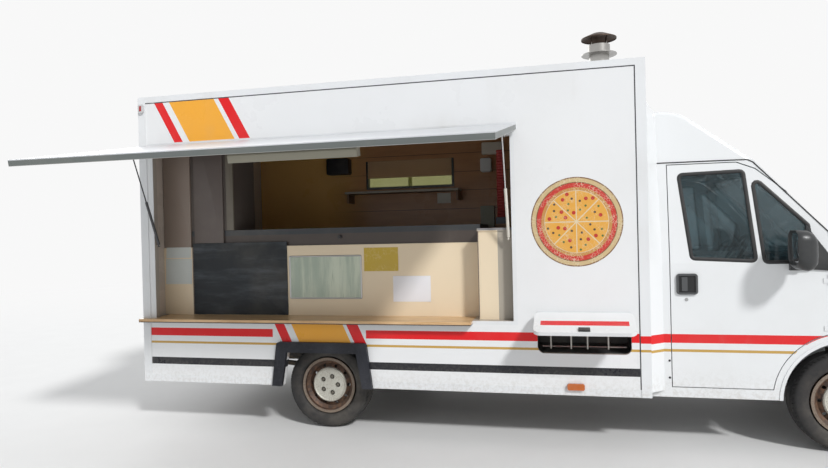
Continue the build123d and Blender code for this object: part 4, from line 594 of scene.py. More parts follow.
# Box trims
# White painted extrusions: cap rails, corner posts, skirt strips, and the frame of the opening.
# The red and gold bands run on over the front posts.
POST_BANDS = ((0.738, 0.790), (0.677, 0.695))
POST_X = (2.3765, 2.60)
FLANK_FROM = 0.95
OPENING_X, OPENING_Z = (-1.535, 1.60), (0.84, 2.30)


def trim_paint(tree, place, tint, rough):
    """The bands on the front posts, and grey-brown inside the opening's frame."""
    x, y, z = split(tree, place)
    width = calc(tree, "ABSOLUTE", y)
    result = mix(tree, over(tree, width, FLANK_FROM), tint, with_bands(tree, tint, POST_BANDS, *POST_X))
    opening = times(tree, between(tree, x, *OPENING_X), between(tree, z, *OPENING_Z))
    indoors = times(tree, under(tree, width, far_skin - LINING_DEPTH), opening)
    return mix(tree, indoors, result, colour(0.42, 0.37, 0.32)), rough


dress("box_trims", finish(
    "trim_paint", colour(0.780, 0.795, 0.810), 0.32, (0.12, 0.25, 0.6, 0.55), coat=0.10,
    bump=(0.0003, 25.0), vary=0.05, paint=trim_paint, extra=LOW_GLOSS))

# Cab skin
# Pressed steel in gloss white with the same film bands along the doors, cut short of the wheel
# arch and laid only where the skin faces outwards.
CAB_WHITE = colour(0.790, 0.805, 0.815)
CAB_BANDS = ((0.731, 0.793), (0.668, 0.687))
CAB_BANDS_ALONG = (2.43, 4.35)
CAB_FLANK_FROM, OUTWARD_OVER = 0.90, 0.05
ARCH_X, ARCH_Z, BANDS_STOP = 3.706, 0.346, 0.463


def cab_paint(tree, place, tint, rough):
    """The bands where a point is on the flank, clear of the arch, and its normal points outwards."""
    x, y, z = split(tree, place)
    offset = add(tree, "CombineXYZ", {0: minus(tree, x, ARCH_X), 2: minus(tree, z, ARCH_Z)}).outputs[0]
    away = add(tree, "VectorMath", {0: offset}, operation="LENGTH").outputs["Value"]
    flank = over(tree, calc(tree, "ABSOLUTE", y), CAB_FLANK_FROM)
    normal = split(tree, add(tree, "TexCoord").outputs["Normal"])
    outward = over(tree, times(tree, y, normal[1]), OUTWARD_OVER)
    shown = times(tree, over(tree, away, BANDS_STOP), flank, outward)
    return mix(tree, shown, tint, with_bands(tree, tint, CAB_BANDS, *CAB_BANDS_ALONG)), rough


dress("cab_shell bonnet cab_door_left cab_door_right roof_fairing", finish(
    "cab_skin", CAB_WHITE, 0.18, (0.06, 0.08, 0.5, 0.60), coat=0.35, bump=(0.0002, 5.0), vary=0.03,
    paint=cab_paint, extra=LOW_GLOSS))

# Serving hatch
# A light sandwich panel hung from its top edge: white outside, dark along its rim, partly a grey
# edge profile and partly painted shade, and painted shade in grey on the inner skin seen from below.
HATCH_DROOP = math.radians(10.3)
HATCH_RIM_UNDER, HATCH_SKIN_UNDER = 0.020, -0.013
HATCH_RIM_GREY_AND_SHADE, HATCH_UNDERSIDE_SHADE = colour(0.140, 0.155, 0.150), colour(0.30, 0.30, 0.29)
GRIME = (0.1, 0.1, 0.0, 0.5)


def pivot(joint_name):
    """The place of a joint's axis."""
    return next(joint["pos_m"] for joint in frame["joints"] if joint["name"] == joint_name)


def from_pivot(tree, place, joint_name):
    """How far across and up a point is from a joint's axis."""
    axes, centre = split(tree, place), pivot(joint_name)
    return minus(tree, axes[1], centre[1]), minus(tree, axes[2], centre[2])


def hatch_paint(tree, place, tint, rough):
    """The colours by height over the hinge, at right angles to the tilted panel, with painted shade below."""
    y, z = from_pivot(tree, place, "hatch_hinge")
    lift = minus(tree, times(tree, z, math.cos(HATCH_DROOP)), times(tree, y, math.sin(HATCH_DROOP)))
    # Painted shade: grey on the inner skin, and dark grey on the rim, which is partly its own edge profile.
    grey = mix(tree, under(tree, lift, HATCH_SKIN_UNDER), HATCH_RIM_GREY_AND_SHADE, HATCH_UNDERSIDE_SHADE)
    return mix(tree, under(tree, lift, HATCH_RIM_UNDER), tint, grey), rough


dress("serving_hatch", finish(
    "hatch_skin", colour(0.61, 0.625, 0.65), 0.35, GRIME, bump=(0.0004, 12.0),
    vary=0.05, paint=hatch_paint, extra=LOW_GLOSS))

# Locker lid
# A white flap over the gas locker with a black latch. It carries its own piece of the red band,
# so that the band is whole when it is shut.
LID_BAND_X = (1.70, 2.29)
LATCH_X, LATCH_REACH = (1.954, 2.032), (0.251, 0.292)


def distance(tree, first, second):
    """The square root of the two values' squares added up."""
    return calc(tree, "SQRT", plus(tree, times(tree, first, first), times(tree, second, second)))


def lid_paint(tree, place, tint, rough):
    """The band by distance from the hinge line, with the black latch beyond it."""
    x = split(tree, place)[0]
    reach = distance(tree, *from_pivot(tree, place, "locker_hinge"))
    near, far = (pivot("locker_hinge")[2] - level for level in reversed(BOX_BANDS[0]))
    band = times(tree, between(tree, reach, near, far), between(tree, x, *LID_BAND_X))
    latch = times(tree, between(tree, x, *LATCH_X), between(tree, reach, *LATCH_REACH))
    return mix(tree, latch, mix(tree, band, tint, RED), colour(0.03, 0.03, 0.03)), rough


dress("locker_lid", finish(
    "lid_paint", SKIN_WHITE, 0.25, (0.08, 0.1, 0.2, 0.6), coat=0.15, vary=0.03, paint=lid_paint,
    extra=LOW_GLOSS))

# Underframe and axles
# Rolled steel rails, cross members, a dead axle on leaf springs and the front cradle, all in
# black chassis paint under years of road dirt, with rust coming through.


def rusted(amount):
    """A paint function that breaks the coat open in patches of rust, rougher than the paint."""
    def paint(tree, place, tint, rough):
        patch = remap(tree, noise(tree, place, 7.0, 8.0, 0.72), 0.62 - 0.2 * amount, 0.72 - 0.1 * amount)
        flaky = mix(tree, noise(tree, place, 60.0), colour(0.10, 0.040, 0.020), colour(0.20, 0.085, 0.035))
        return mix(tree, patch, tint, flaky), plus(tree, rough, times(tree, patch, 0.25))
    return paint


dress("chassis_frame rear_axle front_subframe knuckle_left knuckle_right fuel_tank", finish(
    "chassis_paint", colour(0.030, 0.030, 0.032), 0.55, (0.45, 0.2, 0.8, 1.0), bump=(0.0006, 90.0),
    vary=0.3, dirt_colour=colour(0.20, 0.15, 0.10), paint=rusted(0.5)))
dress("engine_block", finish(
    "cast_iron", colour(0.10, 0.10, 0.10), 0.6, (0.4, 0.2, 0.6, 1.2), metallic=0.6, bump=(0.0008, 140.0),
    vary=0.3))
dress("exhaust", finish(
    "exhaust_steel", colour(0.26, 0.20, 0.16), 0.5, (0.5, 0.2, 0.5, 0.6), metallic=0.7,
    bump=(0.0004, 120.0), vary=0.4, dirt_colour=colour(0.24, 0.11, 0.05), paint=rusted(1.0)))
dress("box_floor", finish(
    "floor_board", colour(0.26, 0.24, 0.22), 0.55, (0.2, 0.1, 0.3, 0.6), bump=(0.0003, 160.0), vary=0.2))

# Wheels
# Pressed steel wheels, brown with brake dust and rust, behind a speckled grey cap with five
# recessed nuts. The tyre is a plain van pattern: four grooves and cut shoulders.
WHEELS = ("front_left", "front_right", "rear_left", "rear_right")
WHEELBASE = 3.700
TREAD_RADIUS, BEAD_RADIUS, TYRE_HALF = 0.338, 0.2215, 0.1020
POWER_ACROSS, POWER_OUT = 0.62, 0.50
BEAD_DRAWN_IN = 0.10
GROOVES = (-0.054, -0.018, 0.018, 0.054)
GROOVE_HALF, GROOVE_DEPTH, GROOVE_EDGE = 0.00375, 0.0065, 0.002
TREAD_BAND, TREAD_EDGE = 0.016, 0.010
BLOCKS, BLOCK_SLANT, CUT_EDGE = 64, 14, 0.05
SHOULDER_FROM, SHOULDER_HALF = 0.060, 0.07
SIPES_TO, SIPE_HALF, SIPE_DEPTH = 0.050, 0.03, 0.5
WALL_RIB = 0.0012
WALL_RIBS = (
    # share of the way up the wall, half width, soft edge
    (0.22, 0.02, 0.02), (0.62, 0.01, 0.015),
)
SECTION_FROM, SECTION_TO = math.radians(-62), math.radians(242)
ROUND, ACROSS = 512, 76
NUTS, NUT_CIRCLE, NUT_RECESS, NUT_SIZE = 5, 0.068, 0.0195, 0.0115
CAP_EDGE, FLANGE_FROM, FLANGE_TO = 0.139, 0.196, 0.204
BLOOM_FROM, BLOOM_FULL = 0.330, 0.250


def ridge(value, centre, half, soft):
    """1 within half a width of a centre, falling to 0 over a soft edge."""
    return np.clip((half + soft - np.abs(value - centre)) / soft, 0, 1)


def tyre(axle_x, wheel_y):
    """
    A superellipse section carried round the axle: across is half the width times a power of the
    cosine, and out is the bead radius plus half the wall height times 1 + a power of the sine.
    Grooves, shoulder cuts and sipes lower the tread by a depth, and the cuts repeat round the wheel.
    """
    around = np.linspace(0, full_turn, ROUND, endpoint=False)[:, None]
    spread = np.linspace(SECTION_FROM, SECTION_TO, ACROSS)[None, :]
    cosine, sine = np.cos(spread), np.sin(spread)
    height = (TREAD_RADIUS - BEAD_RADIUS) / 2
    across = TYRE_HALF * np.sign(cosine) * np.abs(cosine) ** POWER_ACROSS
    radius = BEAD_RADIUS + height * (1 + np.sign(sine) * np.abs(sine) ** POWER_OUT)
    across = across * (1 - BEAD_DRAWN_IN * np.clip(-sine, 0, 1))
    tread = np.clip((radius - (TREAD_RADIUS - TREAD_BAND)) / TREAD_EDGE, 0, 1)
    cut = sum(ridge(across, groove, GROOVE_HALF, GROOVE_EDGE) for groove in GROOVES)
    phase = (around * BLOCKS / full_turn + np.abs(across) * BLOCK_SLANT) % 1
    shoulder = ridge(phase, 0.5, SHOULDER_HALF, CUT_EDGE) * (np.abs(across) > SHOULDER_FROM)
    sipe = ridge((phase * 2) % 1, 0.5, SIPE_HALF, CUT_EDGE) * (np.abs(across) < SIPES_TO) * SIPE_DEPTH
    radius = radius - GROOVE_DEPTH * tread * np.clip(cut + shoulder + sipe, 0, 1)
    wall = (radius - BEAD_RADIUS) / (2 * height)
    ribs = sum(ridge(wall, *rib) for rib in WALL_RIBS)
    across = across + np.sign(across) * WALL_RIB * ribs
    points = [axle_x + radius * np.cos(around), wheel_y + across, TREAD_RADIUS + radius * np.sin(around)]
    return solid(np.stack(points, 2), closed=True)


def from_axle(tree, place):
    """A point's way forward and up from its own axle, and how far it is from it."""
    x, _, z = split(tree, place)
    axle = times(tree, over(tree, x, WHEELBASE / 2), WHEELBASE)
    along, up = minus(tree, x, axle), minus(tree, z, TREAD_RADIUS)
    return along, up, distance(tree, along, up)


def from_nut(tree, along, up, radius):
    """How far a point is from the nearest of the nuts: its angle is folded into one nut's share."""
    turns = times(tree, calc(tree, "ARCTAN2", up, along), NUTS / full_turn)
    share = calc(tree, "FRACT", plus(tree, turns, 0.5))
    turn = times(tree, minus(tree, share, 0.5), full_turn / NUTS)
    outwards = minus(tree, times(tree, radius, calc(tree, "COSINE", turn)), NUT_CIRCLE)
    return distance(tree, outwards, times(tree, radius, calc(tree, "SINE", turn)))


def rim_paint(tree, place, tint, rough):
    """Cap, disc and flange in their own colours by radius, speckles, and painted shade in black round each
    sunken nut.
    """
    along, up, radius = from_axle(tree, place)
    speckle = remap(tree, noise(tree, place, 160.0, 4.0, 0.7), 0.50, 0.66)
    cap = mix(tree, speckle, colour(0.56, 0.55, 0.49), colour(0.30, 0.26, 0.20))
    nut = from_nut(tree, along, up, radius)
    # Painted shade: near black in the recess round each nut.
    cap = mix(tree, under(tree, nut, NUT_RECESS), cap, colour(0.012, 0.010, 0.009))
    cap = mix(tree, under(tree, nut, NUT_SIZE), cap, colour(0.16, 0.145, 0.12))
    flakes = remap(tree, noise(tree, place, 28.0, 6.0, 0.7), 0.4, 0.65)
    rust = mix(tree, flakes, colour(0.050, 0.030, 0.023), colour(0.145, 0.075, 0.042))
    flange = mix(tree, speckle, colour(0.235, 0.185, 0.145), colour(0.090, 0.062, 0.044))
    result = mix(tree, over(tree, radius, CAP_EDGE), cap, rust)
    return mix(tree, remap(tree, radius, FLANGE_FROM, FLANGE_TO), result, flange), rough


def tyre_paint(tree, place, tint, rough):
    """Black tread worn grey, and a brown bloom of dust on the walls."""
    clouds = remap(tree, noise(tree, place, 16.0, 6.0, 0.7), 0.30, 0.75)
    radius = from_axle(tree, place)[2]
    bloom = times(tree, clouds, remap(tree, radius, BLOOM_FROM, BLOOM_FULL, 0.15, 0.60))
    return mix(tree, bloom, tint, colour(0.070, 0.060, 0.052)), rough


dress(" ".join("rim_" + corner for corner in WHEELS), finish(
    "rim_steel", colour(0.16, 0.12, 0.10), 0.55, (0.25, 0.0, 0.0, 0.6), metallic=0.25,
    bump=(0.0004, 150.0), vary=0.3, dirt_colour=colour(0.24, 0.17, 0.11), paint=rim_paint))
tyre_rubber = finish("tyre_rubber", colour(0.020, 0.020, 0.021), 0.78, (0.2, 0.0, 0.0, 0.5),
                     bump=(0.0003, 260.0), vary=0.3, paint=tyre_paint)
for corner in WHEELS:
    low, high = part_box("tyre_" + corner)
    made = piece("road_tyre_" + corner, [tyre((low.x + high.x) / 2, (low.y + high.y) / 2)], tyre_rubber,
                 "wheel_" + corner, crease=50)
    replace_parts(made, "tyre_" + corner)

# Wheel arch surrounds
# Moulded polyethylene, screwed over the skirt at the rear wheels, once black and now bluish
# and scuffed pale.


def scuffed(scuff=colour(0.16, 0.17, 0.19), amount=1.0):
    """A paint function for chalky plastic: pale scratches that run every way, and bloom."""
    def paint(tree, place, tint, rough):
        lines = 0.0
        for stretch in ((1, 1, 14), (14, 1, 1), (9, 1, 9)):
            scratches = remap(tree, noise(tree, place, 14.0, 6.0, 0.6, stretch), 0.60, 0.72)
            lines = calc(tree, "MAXIMUM", lines, scratches)
        bloom = remap(tree, noise(tree, place, 5.0, 5.0, 0.6), 0.35, 0.70, 0.0, 0.45)
        wear = times(tree, calc(tree, "MINIMUM", plus(tree, lines, bloom), 1.0), amount)
        return mix(tree, wear, tint, scuff), plus(tree, rough, times(tree, wear, 0.2))
    return paint


dress("arch_flares", finish(
    "faded_plastic", colour(0.010, 0.011, 0.016), 0.40, (0.08, 0.15, 0.25, 0.6), bump=(0.0003, 300.0),
    vary=0.3, dirt_colour=colour(0.12, 0.12, 0.13), paint=scuffed(colour(0.070, 0.074, 0.092), 0.5),
    extra=LOW_GLOSS))

# Lamps on the box
# Amber side markers in the skirt, red clearance lamps in pale housings high at the rear
# corners, and the tall rear lamp clusters.
HIGH_LAMPS_OVER = 1.5
HIGH_LENS_Z = (2.613, 2.657)
HIGH_LENS_X = tuple(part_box("marker_lamps")[0].x + way_in for way_in in (0.012, 0.034))
TAIL_AMBER_OVER = 0.745
TAIL_CLEAR_Z = (0.500, 0.585)


def marker_paint(tree, place, tint, rough):
    """High lamps are red inside a pale housing; the low ones stay amber."""
    x, _, z = split(tree, place)
    lens = times(tree, between(tree, z, *HIGH_LENS_Z), between(tree, x, *HIGH_LENS_X))
    corner_lamp = mix(tree, lens, colour(0.55, 0.55, 0.56), colour(0.34, 0.010, 0.012))
    return mix(tree, over(tree, z, HIGH_LAMPS_OVER), tint, corner_lamp), rough


def tail_paint(tree, place, tint, rough):
    """Amber, red and clear blocks one above another."""
    height = split(tree, place)[2]
    result = mix(tree, over(tree, height, TAIL_AMBER_OVER), tint, colour(0.80, 0.20, 0.014))
    return mix(tree, between(tree, height, *TAIL_CLEAR_Z), result, colour(0.62, 0.62, 0.60)), rough


dress("rear_lamps", finish(
    "tail_lens", colour(0.46, 0.012, 0.010), 0.12, (0.1, 0.1, 0.4, 0.8), coat=0.6, vary=0.1,
    paint=tail_paint))
dress("marker_lamps", finish(
    "marker_lens", colour(0.52, 0.115, 0.008), 0.15, (0.1, 0.1, 0.3, 0.5), coat=0.3, vary=0.1,
    paint=marker_paint))

# Counter
# Cream laminate panels between two corner profiles, a dark edge under the steel worktop that is
# partly brown fascia and partly painted shade, and an end pilaster with a grey slab on top and a
# painted shadow in grey down its front edge. Below the ledge the counter is painted grey as shade.
COUNTER_FACE = -0.840
PANEL_FOOT, PANEL_TOP = 0.887, 1.462
PILASTER_FROM, PILASTER_SHADOW_FROM = 1.236, 1.386
PILASTER_FACE, PILASTER_MIDDLE_Z = -0.998, 1.220
SLAB_FROM, LEDGE_LEVEL = 1.553, 0.885
SEAM_X = (-1.2625, -1.2535)
PAST_EDGE = 0.001
DUST = (0.1, 0.0, 0.0, 0.5)


def counter_paint(tree, place, tint, rough):
    """Dark band over the panels, partly brown fascia and partly painted shade, painted shade under the ledge,
    the pilaster's grey slab, and a painted shadow down its front.
    """
    x, _, z = split(tree, place)
    # Painted shade in part: the dark brown band over the panels, where the fascia lies in shade.
    band = times(tree, under(tree, x, PILASTER_FROM - PAST_EDGE), over(tree, z, PANEL_TOP + PAST_EDGE))
    result = mix(tree, band, tint, colour(0.060, 0.045, 0.038))
    # Painted shade: grey under the ledge.
    result = mix(tree, under(tree, z, LEDGE_LEVEL), result, colour(0.30, 0.28, 0.26))
    # Painted shadow: grey down the pilaster's front, cast by the jamb.
    result = mix(tree, over(tree, x, PILASTER_SHADOW_FROM), result, colour(0.40, 0.36, 0.30))
    slab = times(tree, over(tree, z, SLAB_FROM), over(tree, x, PILASTER_FROM))
    return mix(tree, slab, result, colour(0.26, 0.25, 0.25)), rough


def upright_plate(x, z, behind, corner, depth, edge=0.001):
    """A plate that looks at the serving side, between two places along and two levels."""
    return placed(plate(x[1] - x[0], z[1] - z[0], corner, depth, edge), (sum(x) / 2, behind, sum(z) / 2))


dress("counter", finish(
    "cream_laminate", colour(0.840, 0.700, 0.505), 0.38, (0.04, 0.08, 0.0, 0.5), bump=(0.0001, 300.0),
    vary=0.06, paint=counter_paint))

# Notices
# Blank sheets of paper and card, held to the counter's front at their top corners, so that
# their lower corners curl away from it.
paper = finish("paper", colour(0.66, 0.69, 0.66), 0.7, (0.15, 0.1, 0.0, 0.5), bump=(0.0004, 30.0), vary=0.10)
bright_paper = finish("bright_paper", colour(0.84, 0.84, 0.88), 0.6, SMEARS, bump=(0.0004, 30.0),
                      vary=0.06)
amber_card = finish("amber_card", colour(0.62, 0.43, 0.050), 0.5, GRIME, bump=(0.0003, 40.0), vary=0.15,
                    paint=crazed(0.25, 30.0, colour(0.80, 0.68, 0.35)))
NOTICES = (
    # name, x from and to, z from and to, curl, material
    ("notice_upper", (-1.515, -1.275), (1.375, 1.466), 0.006, paper),
    ("notice_lower", (-1.523, -1.271), (1.149, 1.366), 0.006, paper),
    ("notice_bright", (0.529, 0.836), (1.000, 1.205), 0.004, bright_paper),
    ("amber_sheet", (0.290, 0.575), (1.245, 1.435), 0.002, amber_card),
)
PAPER_GAP, PAPER_THICK = 0.0008, 0.0004


def grid_quads(count):
    """The quads between neighbouring points of a square grid with that many points a side."""
    row, column = np.meshgrid(np.arange(count - 1), np.arange(count - 1), indexing="ij")
    first = (row * count + column).ravel()
    return np.stack([first, first + 1, first + count + 1, first + count], 1)


def sheet_of_paper(x, z, curl, count=14):
    """
    Paper held at its top corners: each point stands out by the curl times the square of its way
    down times the cube of its way from the middle, and the same again behind for the thickness.
    """
    across, down = np.meshgrid(np.linspace(-1, 1, count), np.linspace(0, 1, count))
    lift = PAPER_GAP + curl * down ** 2 * np.abs(across) ** 3 + PAPER_THICK
    front = np.stack([across * (x[1] - x[0]) / 2, (0.5 - down) * (z[1] - z[0]), lift], 2)
    back = front - np.array([0, 0, PAPER_THICK])
    rims = [np.concatenate([grid[0], grid[1:, -1], grid[-1, -2::-1], grid[-2:0:-1, 0]])
            for grid in (back, front)]
    edge_points, edge_faces = solid(np.array(rims))
    quads = grid_quads(count)
    skins = np.concatenate([quads, quads + count * count]).tolist()
    points = np.concatenate([back.reshape(-1, 3), front.reshape(-1, 3), edge_points])
    joined = [[corner + 2 * count * count for corner in face] for face in edge_faces[:-2]]
    return placed((points, skins + joined), (sum(x) / 2, COUNTER_FACE, sum(z) / 2))


for name, x, z, curl, material in NOTICES:
    piece(name, [sheet_of_paper(x, z, curl)], material)

# Menu board
# A plain slate-coloured board, blank and wiped with a cloth, which stands on the ledge against
# the counter.
BOARD_X, BOARD_Z = (-1.250, -0.380), (PANEL_FOOT, 1.497)
BOARD_CORNER, BOARD_DEPTH = 0.004, 0.006


def chalked(tree, place, tint, rough):
    """Pale smears that sweep across the board."""
    smear = remap(tree, noise(tree, place, 3.0, 7.0, 0.65, (0.6, 1, 3.5)), 0.45, 0.80, 0.0, 0.55)
    return mix(tree, smear, tint, colour(0.115, 0.130, 0.150)), rough


slate = finish("slate", colour(0.024, 0.029, 0.034), 0.45, DUST, bump=(0.0001, 200.0), vary=0.25,
               paint=chalked, extra=LOW_GLOSS)
piece("menu_board", [upright_plate(BOARD_X, BOARD_Z, COUNTER_FACE, BOARD_CORNER, BOARD_DEPTH)], slate)

# Display window and counter fittings
# A frosted pane in a thin aluminium frame, the strips that cover the counter's seams, and a
# black knob on the edge over the panels.
GLASS_X, GLASS_Z = (-0.357, 0.263), (1.027, 1.372)
GLASS_CORNER, GLASS_DEPTH = 0.006, 0.003
FRAME_CORNER, FRAME_WIDTH, FRAME_DEPTH, FRAME_PROUD = 0.008, 0.014, 0.005, 0.0005
STRIP_CORNER, SEAM_DEPTH = 0.001, 0.003
EDGE_WIDTH, EDGE_HEIGHT, EDGE_DEPTH, EDGE_WAY_IN, EDGE_SUNK = 0.006, 0.660, 0.002, 0.004, 0.0005
CLEAN = (0.05, 0.0, 0.0, 0.5)
KNOB_AT = (0.083, COUNTER_FACE + 0.024, 1.528)
KNOB_PROFILE = (
    # radius, height
    (0.0005, 0.0), (0.017, 0.0), (0.017, 0.004), (0.012, 0.008), (0.012, 0.020), (0.015, 0.024),
    (0.014, 0.030), (0.0005, 0.032),
)


def unit(vectors):
    """The same directions, each of length 1."""
    return vectors / np.linalg.norm(vectors, axis=1, keepdims=True)


def turned(profile, steps=32):
    """A profile of (radius, height) turned about z: each ring is the circle of its radius."""
    return solid(np.array([at_level(circle(radius, steps), height) for radius, height in profile]))


def carried(path, section, facing, closed=False):
    """
    A section carried along a path. At each point one axis faces out and the other lies across:
    the cross product of the path's direction and the facing; the section's (across, out) pairs
    are laid along these two.
    """
    path, section = np.array(path, float), np.array(section, float)
    way = unit(np.roll(path, -1, 0) - np.roll(path, 1, 0) if closed else np.gradient(path, axis=0))
    aside = unit(np.cross(way, np.broadcast_to(np.array(facing, float), path.shape)))
    out = np.cross(aside, way)
    points = path[:, None] + section[None, :, :1] * aside[:, None] + section[None, :, 1:] * out[:, None]
    return solid(points, closed)


def bead(width, height):
    """A low half-round section that stands on its surface."""
    angle = np.linspace(0, math.pi, 7)
    top = np.stack([width / 2 * np.cos(angle), height * np.sin(angle)], 1)
    return np.vstack([top, [(-width / 2, -0.001), (width / 2, -0.001)]])


def eased(corners, radius, steps=5):
    """
    A closed outline with each corner replaced by an arc that touches both its sides. The arc's
    centre lies on the corner's bisector, and its points turn from one side's normal to the other's.
    """
    corners = np.array(corners, float)
    before, after = unit(np.roll(corners, 1, 0) - corners), unit(np.roll(corners, -1, 0) - corners)
    half = np.arccos(np.sum(before * after, 1).clip(-1, 1)) / 2
    reach = (radius / np.tan(half))[:, None]
    centre = corners + unit(before + after) * (radius / np.sin(half))[:, None]
    start, end = corners + before * reach - centre, corners + after * reach - centre
    share = np.linspace(0, 1, steps)[None, :, None]
    swing = (math.pi - 2 * half)[:, None, None]
    from_start = np.sin((1 - share) * swing) * start[:, None]
    from_end = np.sin(share * swing) * end[:, None]
    return (centre[:, None] + (from_start + from_end) / np.sin(swing)).reshape(-1, corners.shape[1])


def frosted_streaks(tree, place, tint, rough):
    """Pale streaks, as wide as a hand, that run down the pane, and fine dark ones over them."""
    streaks = remap(tree, noise(tree, place, 11.0, 5.0, 0.6, (1, 1, 0.12)), 0.38, 0.66)
    result = mix(tree, streaks, tint, colour(0.58, 0.64, 0.50))
    fine = remap(tree, noise(tree, place, 45.0, 4.0, 0.6, (1, 1, 0.10)), 0.55, 0.75, 0.0, 0.5)
    return mix(tree, fine, result, colour(0.20, 0.28, 0.18)), rough


glass_corners = [(GLASS_X[i], COUNTER_FACE - FRAME_PROUD, GLASS_Z[j])
                 for i, j in ((0, 0), (1, 0), (1, 1), (0, 1))]
aluminium = finish("aluminium", colour(0.46, 0.46, 0.46), 0.35, GRIME, metallic=0.9, bump=(0.0001, 300.0),
                   vary=0.1)
display_frame = carried(eased(glass_corners, FRAME_CORNER), bead(FRAME_WIDTH, FRAME_DEPTH), (0, -1, 0), True)
piece("display_frame", [display_frame], aluminium)
frosted_pane = finish("frosted_pane", colour(0.38, 0.46, 0.36), 0.06, CLEAN, coat=0.8, vary=0.1,
                      paint=frosted_streaks)
piece("display_glass", [upright_plate(GLASS_X, GLASS_Z, COUNTER_FACE, GLASS_CORNER, GLASS_DEPTH)],
      frosted_pane)
pilaster_edge = placed(plate(EDGE_WIDTH, EDGE_HEIGHT, STRIP_CORNER, EDGE_DEPTH),
                       (PILASTER_FROM + EDGE_WAY_IN, PILASTER_FACE + EDGE_SUNK, PILASTER_MIDDLE_Z))
counter_seam = upright_plate(SEAM_X, (PANEL_FOOT, PANEL_TOP), COUNTER_FACE, STRIP_CORNER, SEAM_DEPTH)
piece("counter_seam", [pilaster_edge, counter_seam],
      finish("seam_strip", colour(0.16, 0.12, 0.10), 0.5, vary=0.2))
black_metal = finish("black_metal", colour(0.020, 0.020, 0.022), 0.35, DUST, vary=0.3)
piece("counter_knob", [placed(turned(KNOB_PROFILE, 24), KNOB_AT)], black_metal)

# Worktop, units and wall fittings
# A folded steel worktop on cabinets, dark units with a shelf along the far wall, a deck oven
# against the front wall and a few fittings on the boards, all in the shade of the hatch.
WORKTOP_UNDERSIDE, WORKTOP_TOP = 1.556, 1.604
BRACKETS_OVER, SHELF_OVER = 1.86, 1.9705
WALL_THICK, FITTING_EDGE = 0.040, 0.006
inside_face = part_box("box_side_left")[1].y - WALL_THICK
FAR_FITTINGS = (
    # name, x from and to, z from and to, corner, depth, tint
    ("wall_speaker", (-0.695, -0.439), (2.197, 2.376), 0.020, 0.110, colour(0.012, 0.012, 0.014)),
    ("wall_notice", (0.526, 0.676), (1.847, 1.960), 0.002, 0.002, colour(0.80, 0.76, 0.66)),
    ("switch_box", (1.025, 1.233), (2.344, 2.470), 0.010, 0.060, colour(0.84, 0.76, 0.64)),
    ("corner_lamp", (1.010, 1.124), (2.160, 2.303), 0.020, 0.090, colour(0.82, 0.82, 0.80)),
    ("wall_cabinet", (0.998, 1.142), (1.578, 1.804), 0.010, 0.050, colour(0.46, 0.49, 0.40)),
)


def worktop_paint(tree, place, tint, rough):
    """Brushed steel above, and the brown board of the cabinets below it, darkened in part as painted shade.
    """
    board = under(tree, split(tree, place)[2], WORKTOP_UNDERSIDE)
    return mix(tree, board, tint, colour(0.075, 0.048, 0.036)), rough


def unit_paint(tree, place, tint, rough):
    """Dark units, and the pale shelf board above them on brackets as brown as the wall."""
    height = split(tree, place)[2]
    brackets = mix(tree, over(tree, height, BRACKETS_OVER), tint, colour(0.24, 0.14, 0.075))
    return mix(tree, over(tree, height, SHELF_OVER), brackets, colour(0.47, 0.43, 0.36)), rough


# Painted shade: the steel's near-black base colour stands for the hatch's shade on the worktop.
dress("worktop", finish(
    "stainless", colour(0.052, 0.056, 0.062), 0.42, (0.1, 0.05, 0.0, 0.5), metallic=0.5,
    bump=(0.0001, 300.0), vary=0.1, paint=worktop_paint))
dress("back_units", finish(
    "unit_board", colour(0.15, 0.10, 0.065), 0.5, SMEARS, vary=0.2, paint=unit_paint))
dress("oven", finish(
    "oven_steel", colour(0.36, 0.34, 0.32), 0.35, (0.2, 0.1, 0.0, 0.5), metallic=0.8, bump=(0.0002, 80.0),
    vary=0.2))
for name, x, z, corner, depth, tint in FAR_FITTINGS:
    fitting = upright_plate(x, z, inside_face, corner, depth, FITTING_EDGE)
    piece(name, [fitting], finish(name, tint, 0.4, DUST, vary=0.15))

# Tall cupboard
# It stands on the counter's rear end: two flush doors with a dark gap between them, a pale
# post, and the carcass behind over the worktop.
CUPBOARD_TOP, CUPBOARD_FOOT = 2.640, 1.4635
CUPBOARD_FACE, CUPBOARD_DOOR, CUPBOARD_BACK = -0.8235, 0.016, -0.450
CARCASS_X = (-1.536, -0.866)
CUPBOARD_CORNER, CUPBOARD_EDGE = 0.003, 0.002
CUPBOARD_FRONTS = (
    # name, x from and to, foot, tint
    ("cupboard_door_rear", (-1.534, -1.275), CUPBOARD_FOOT, colour(0.300, 0.235, 0.195)),
    ("cupboard_door_front", (-1.238, -0.962), CUPBOARD_FOOT, colour(0.130, 0.104, 0.094)),
    ("cupboard_post", (-0.930, -0.864), WORKTOP_TOP, colour(0.150, 0.130, 0.100)),
)
for name, x, foot, tint in CUPBOARD_FRONTS:
    front = upright_plate(x, (foot, CUPBOARD_TOP), CUPBOARD_FACE, CUPBOARD_CORNER, CUPBOARD_DOOR,
                          CUPBOARD_EDGE)
    piece(name, [front], finish(name, tint, 0.4, (0.10, 0.12, 0.0, 0.5), bump=(0.0003, 20.0), vary=0.1))
carcass = upright_plate(CARCASS_X, (WORKTOP_TOP, CUPBOARD_TOP), CUPBOARD_BACK, CUPBOARD_CORNER,
                        CUPBOARD_BACK - CUPBOARD_FACE, CUPBOARD_EDGE)
piece("cupboard_carcass", [carcass],
      finish("cupboard_carcass", colour(0.10, 0.080, 0.070), 0.6, DUST, vary=0.2))

